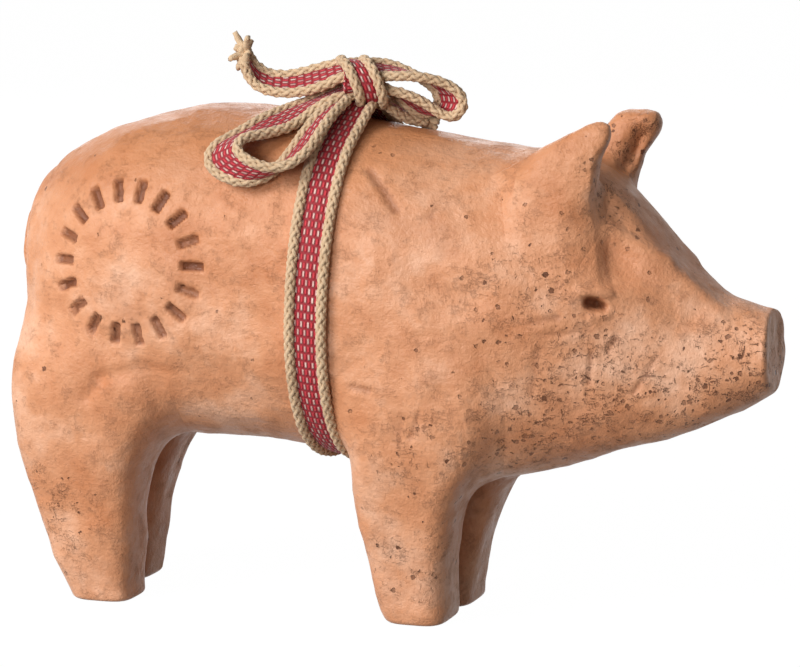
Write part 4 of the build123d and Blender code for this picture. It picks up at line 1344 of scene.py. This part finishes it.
build_turn(
    "knot", turn_round_knot, KNOT_PITCH, BOW_SPACING,
    CORD_RADIUS, KNOT_TAPE_RISE, KNOT_TAPE_BULGE, KNOT_TAPE_INSET,
)

# %% Knot core
PLEATS, PLEAT_SHARE, WAIST_SHARE, END_SHARE, WEAVE_RADIUS = 9, 0.05, 0.12, 0.3, 4.0
at = np.linspace(-1.0, 1.0, 40)
angle = np.linspace(0.0, 2 * np.pi, 96, endpoint=False)
gather = (1 - WAIST_SHARE * (1 - at**2)) * np.where(np.abs(at) == 1.0, END_SHARE, 1.0)
pleat = 1 + PLEAT_SHARE * np.cos(PLEATS * angle)
across, up = superellipse(angle, KNOT_WIDTH / 2, KNOT_HEIGHT / 2, KNOT_FULLNESS)
core = (
    KNOT + (at * KNOT_LENGTH / 2)[:, None, None] * bow_way
    + (gather[:, None] * (across * pleat)[None])[..., None] * bow_side
    + (gather[:, None] * (up * pleat)[None])[..., None] * upward
)
mesh = stack_mesh("knot_core_gathered", core)
along = (at * KNOT_LENGTH / 2)[:, None]
flat = np.stack(np.broadcast_arrays(along, WEAVE_RADIUS * angle[None, :]), axis=-1)
flat = np.concatenate([flat.reshape(-1, 2), np.zeros((2, 2))])
corners = np.empty(len(mesh.loops), dtype=np.int32)
mesh.loops.foreach_get("vertex_index", corners)
mesh.uv_layers.new(name="weave").data.foreach_set("uv", flat[corners].astype(np.float32).ravel())
add_piece(mesh, red_tape, "tape", "knot_core")

# %% [markdown]
# ## Light and floor
#
# The pig stands on a white sweep in soft daylight. A picture of a room could light it from all
# round, but a few panels are easier to set. A large one to the left of the camera gives the light
# its direction, a low one in front opens the shadows under the jaw, and a weak one behind lights the
# far side.


# %% Light
LIT_POINT = Vector((0.0, 0.0, 0.06))  # metres


def panel(name, azimuth, elevation, distance, size, power):
    """A square soft light that looks at the pig from a given direction and distance, in metres."""
    lamp = bpy.data.lights.new(name, "AREA")
    lamp.size = size
    lamp.energy = power
    way = towards(azimuth, elevation)
    holder = bpy.data.objects.new(name, lamp)
    holder.location = LIT_POINT + distance * way
    holder.rotation_euler = way.to_track_quat("Z", "Y").to_euler()
    bpy.context.collection.objects.link(holder)


panel("window_left", -35.0, 29.0, 1.3, 0.55, 14.8)
panel("window_front", -6.0, 10.0, 1.3, 0.4, 6.8)
panel("window_back", 205.0, 26.0, 1.4, 0.7, 4.5)
print("lit by", [lamp.name for lamp in bpy.data.lights])


# %% [markdown]
# The world adds a weak light from all round, and is white where it is seen. The floor is white to
# the camera too, apart from the soft shadow that it keeps.

# %% World and floor
def seen_directly(tree):
    """1 on rays from the camera, a reflection or glass, and 0 on rays that only light the pig."""
    rays = add(tree, "LightPath")
    seen = 0.0
    for kind in ("Is Camera Ray", "Is Glossy Ray", "Is Transmission Ray"):
        seen = add(tree, "Math", {0: seen, 1: rays.outputs[kind]}, operation="MAXIMUM").outputs[0]
    return seen


WHITE = (1.0, 1.0, 1.0, 1.0)
SKY_LIGHT, PAPER_GREY, PAPER_GLOW, PAPER_SHOWN = 0.17, 0.22, 1.08, 0.92
world = bpy.data.worlds.new("studio")
bpy.context.scene.world = world
world.use_nodes = True
tree = world.node_tree
tree.nodes.clear()
strength = add(tree, "MapRange", {"Value": seen_directly(tree), "To Min": SKY_LIGHT, "To Max": 1.0})
sky = add(tree, "Background", {"Color": WHITE, "Strength": strength.outputs[0]})
add(tree, "OutputWorld", {"Surface": sky.outputs[0]})

white_sweep, tree, output = new_material("white_paper_sweep")
paper = add(tree, "BsdfDiffuse", {"Color": (PAPER_GREY, PAPER_GREY, PAPER_GREY, 1.0)})
glow = add(tree, "Emission", {"Color": WHITE, "Strength": PAPER_GLOW})
shown = add(tree, "Math", {0: seen_directly(tree), 1: PAPER_SHOWN}, operation="MULTIPLY")
blend = add(tree, "MixShader", {0: shown.outputs[0], 1: paper.outputs[0], 2: glow.outputs[0]})
tree.links.new(blend.outputs[0], output.inputs["Surface"])

FLOOR_REACH = 9000.0  # mm
floor_corners = FLOOR_REACH * np.array(((-1, -1, 0), (1, -1, 0), (1, 1, 0), (-1, 1, 0)))
floor = bpy.data.objects.new("floor", mesh_of("floor", floor_corners, np.array([[0, 1, 2, 3]])))
floor.data.materials.append(white_sweep)
bpy.context.collection.objects.link(floor)
bpy.context.scene.view_settings.view_transform = "Standard"
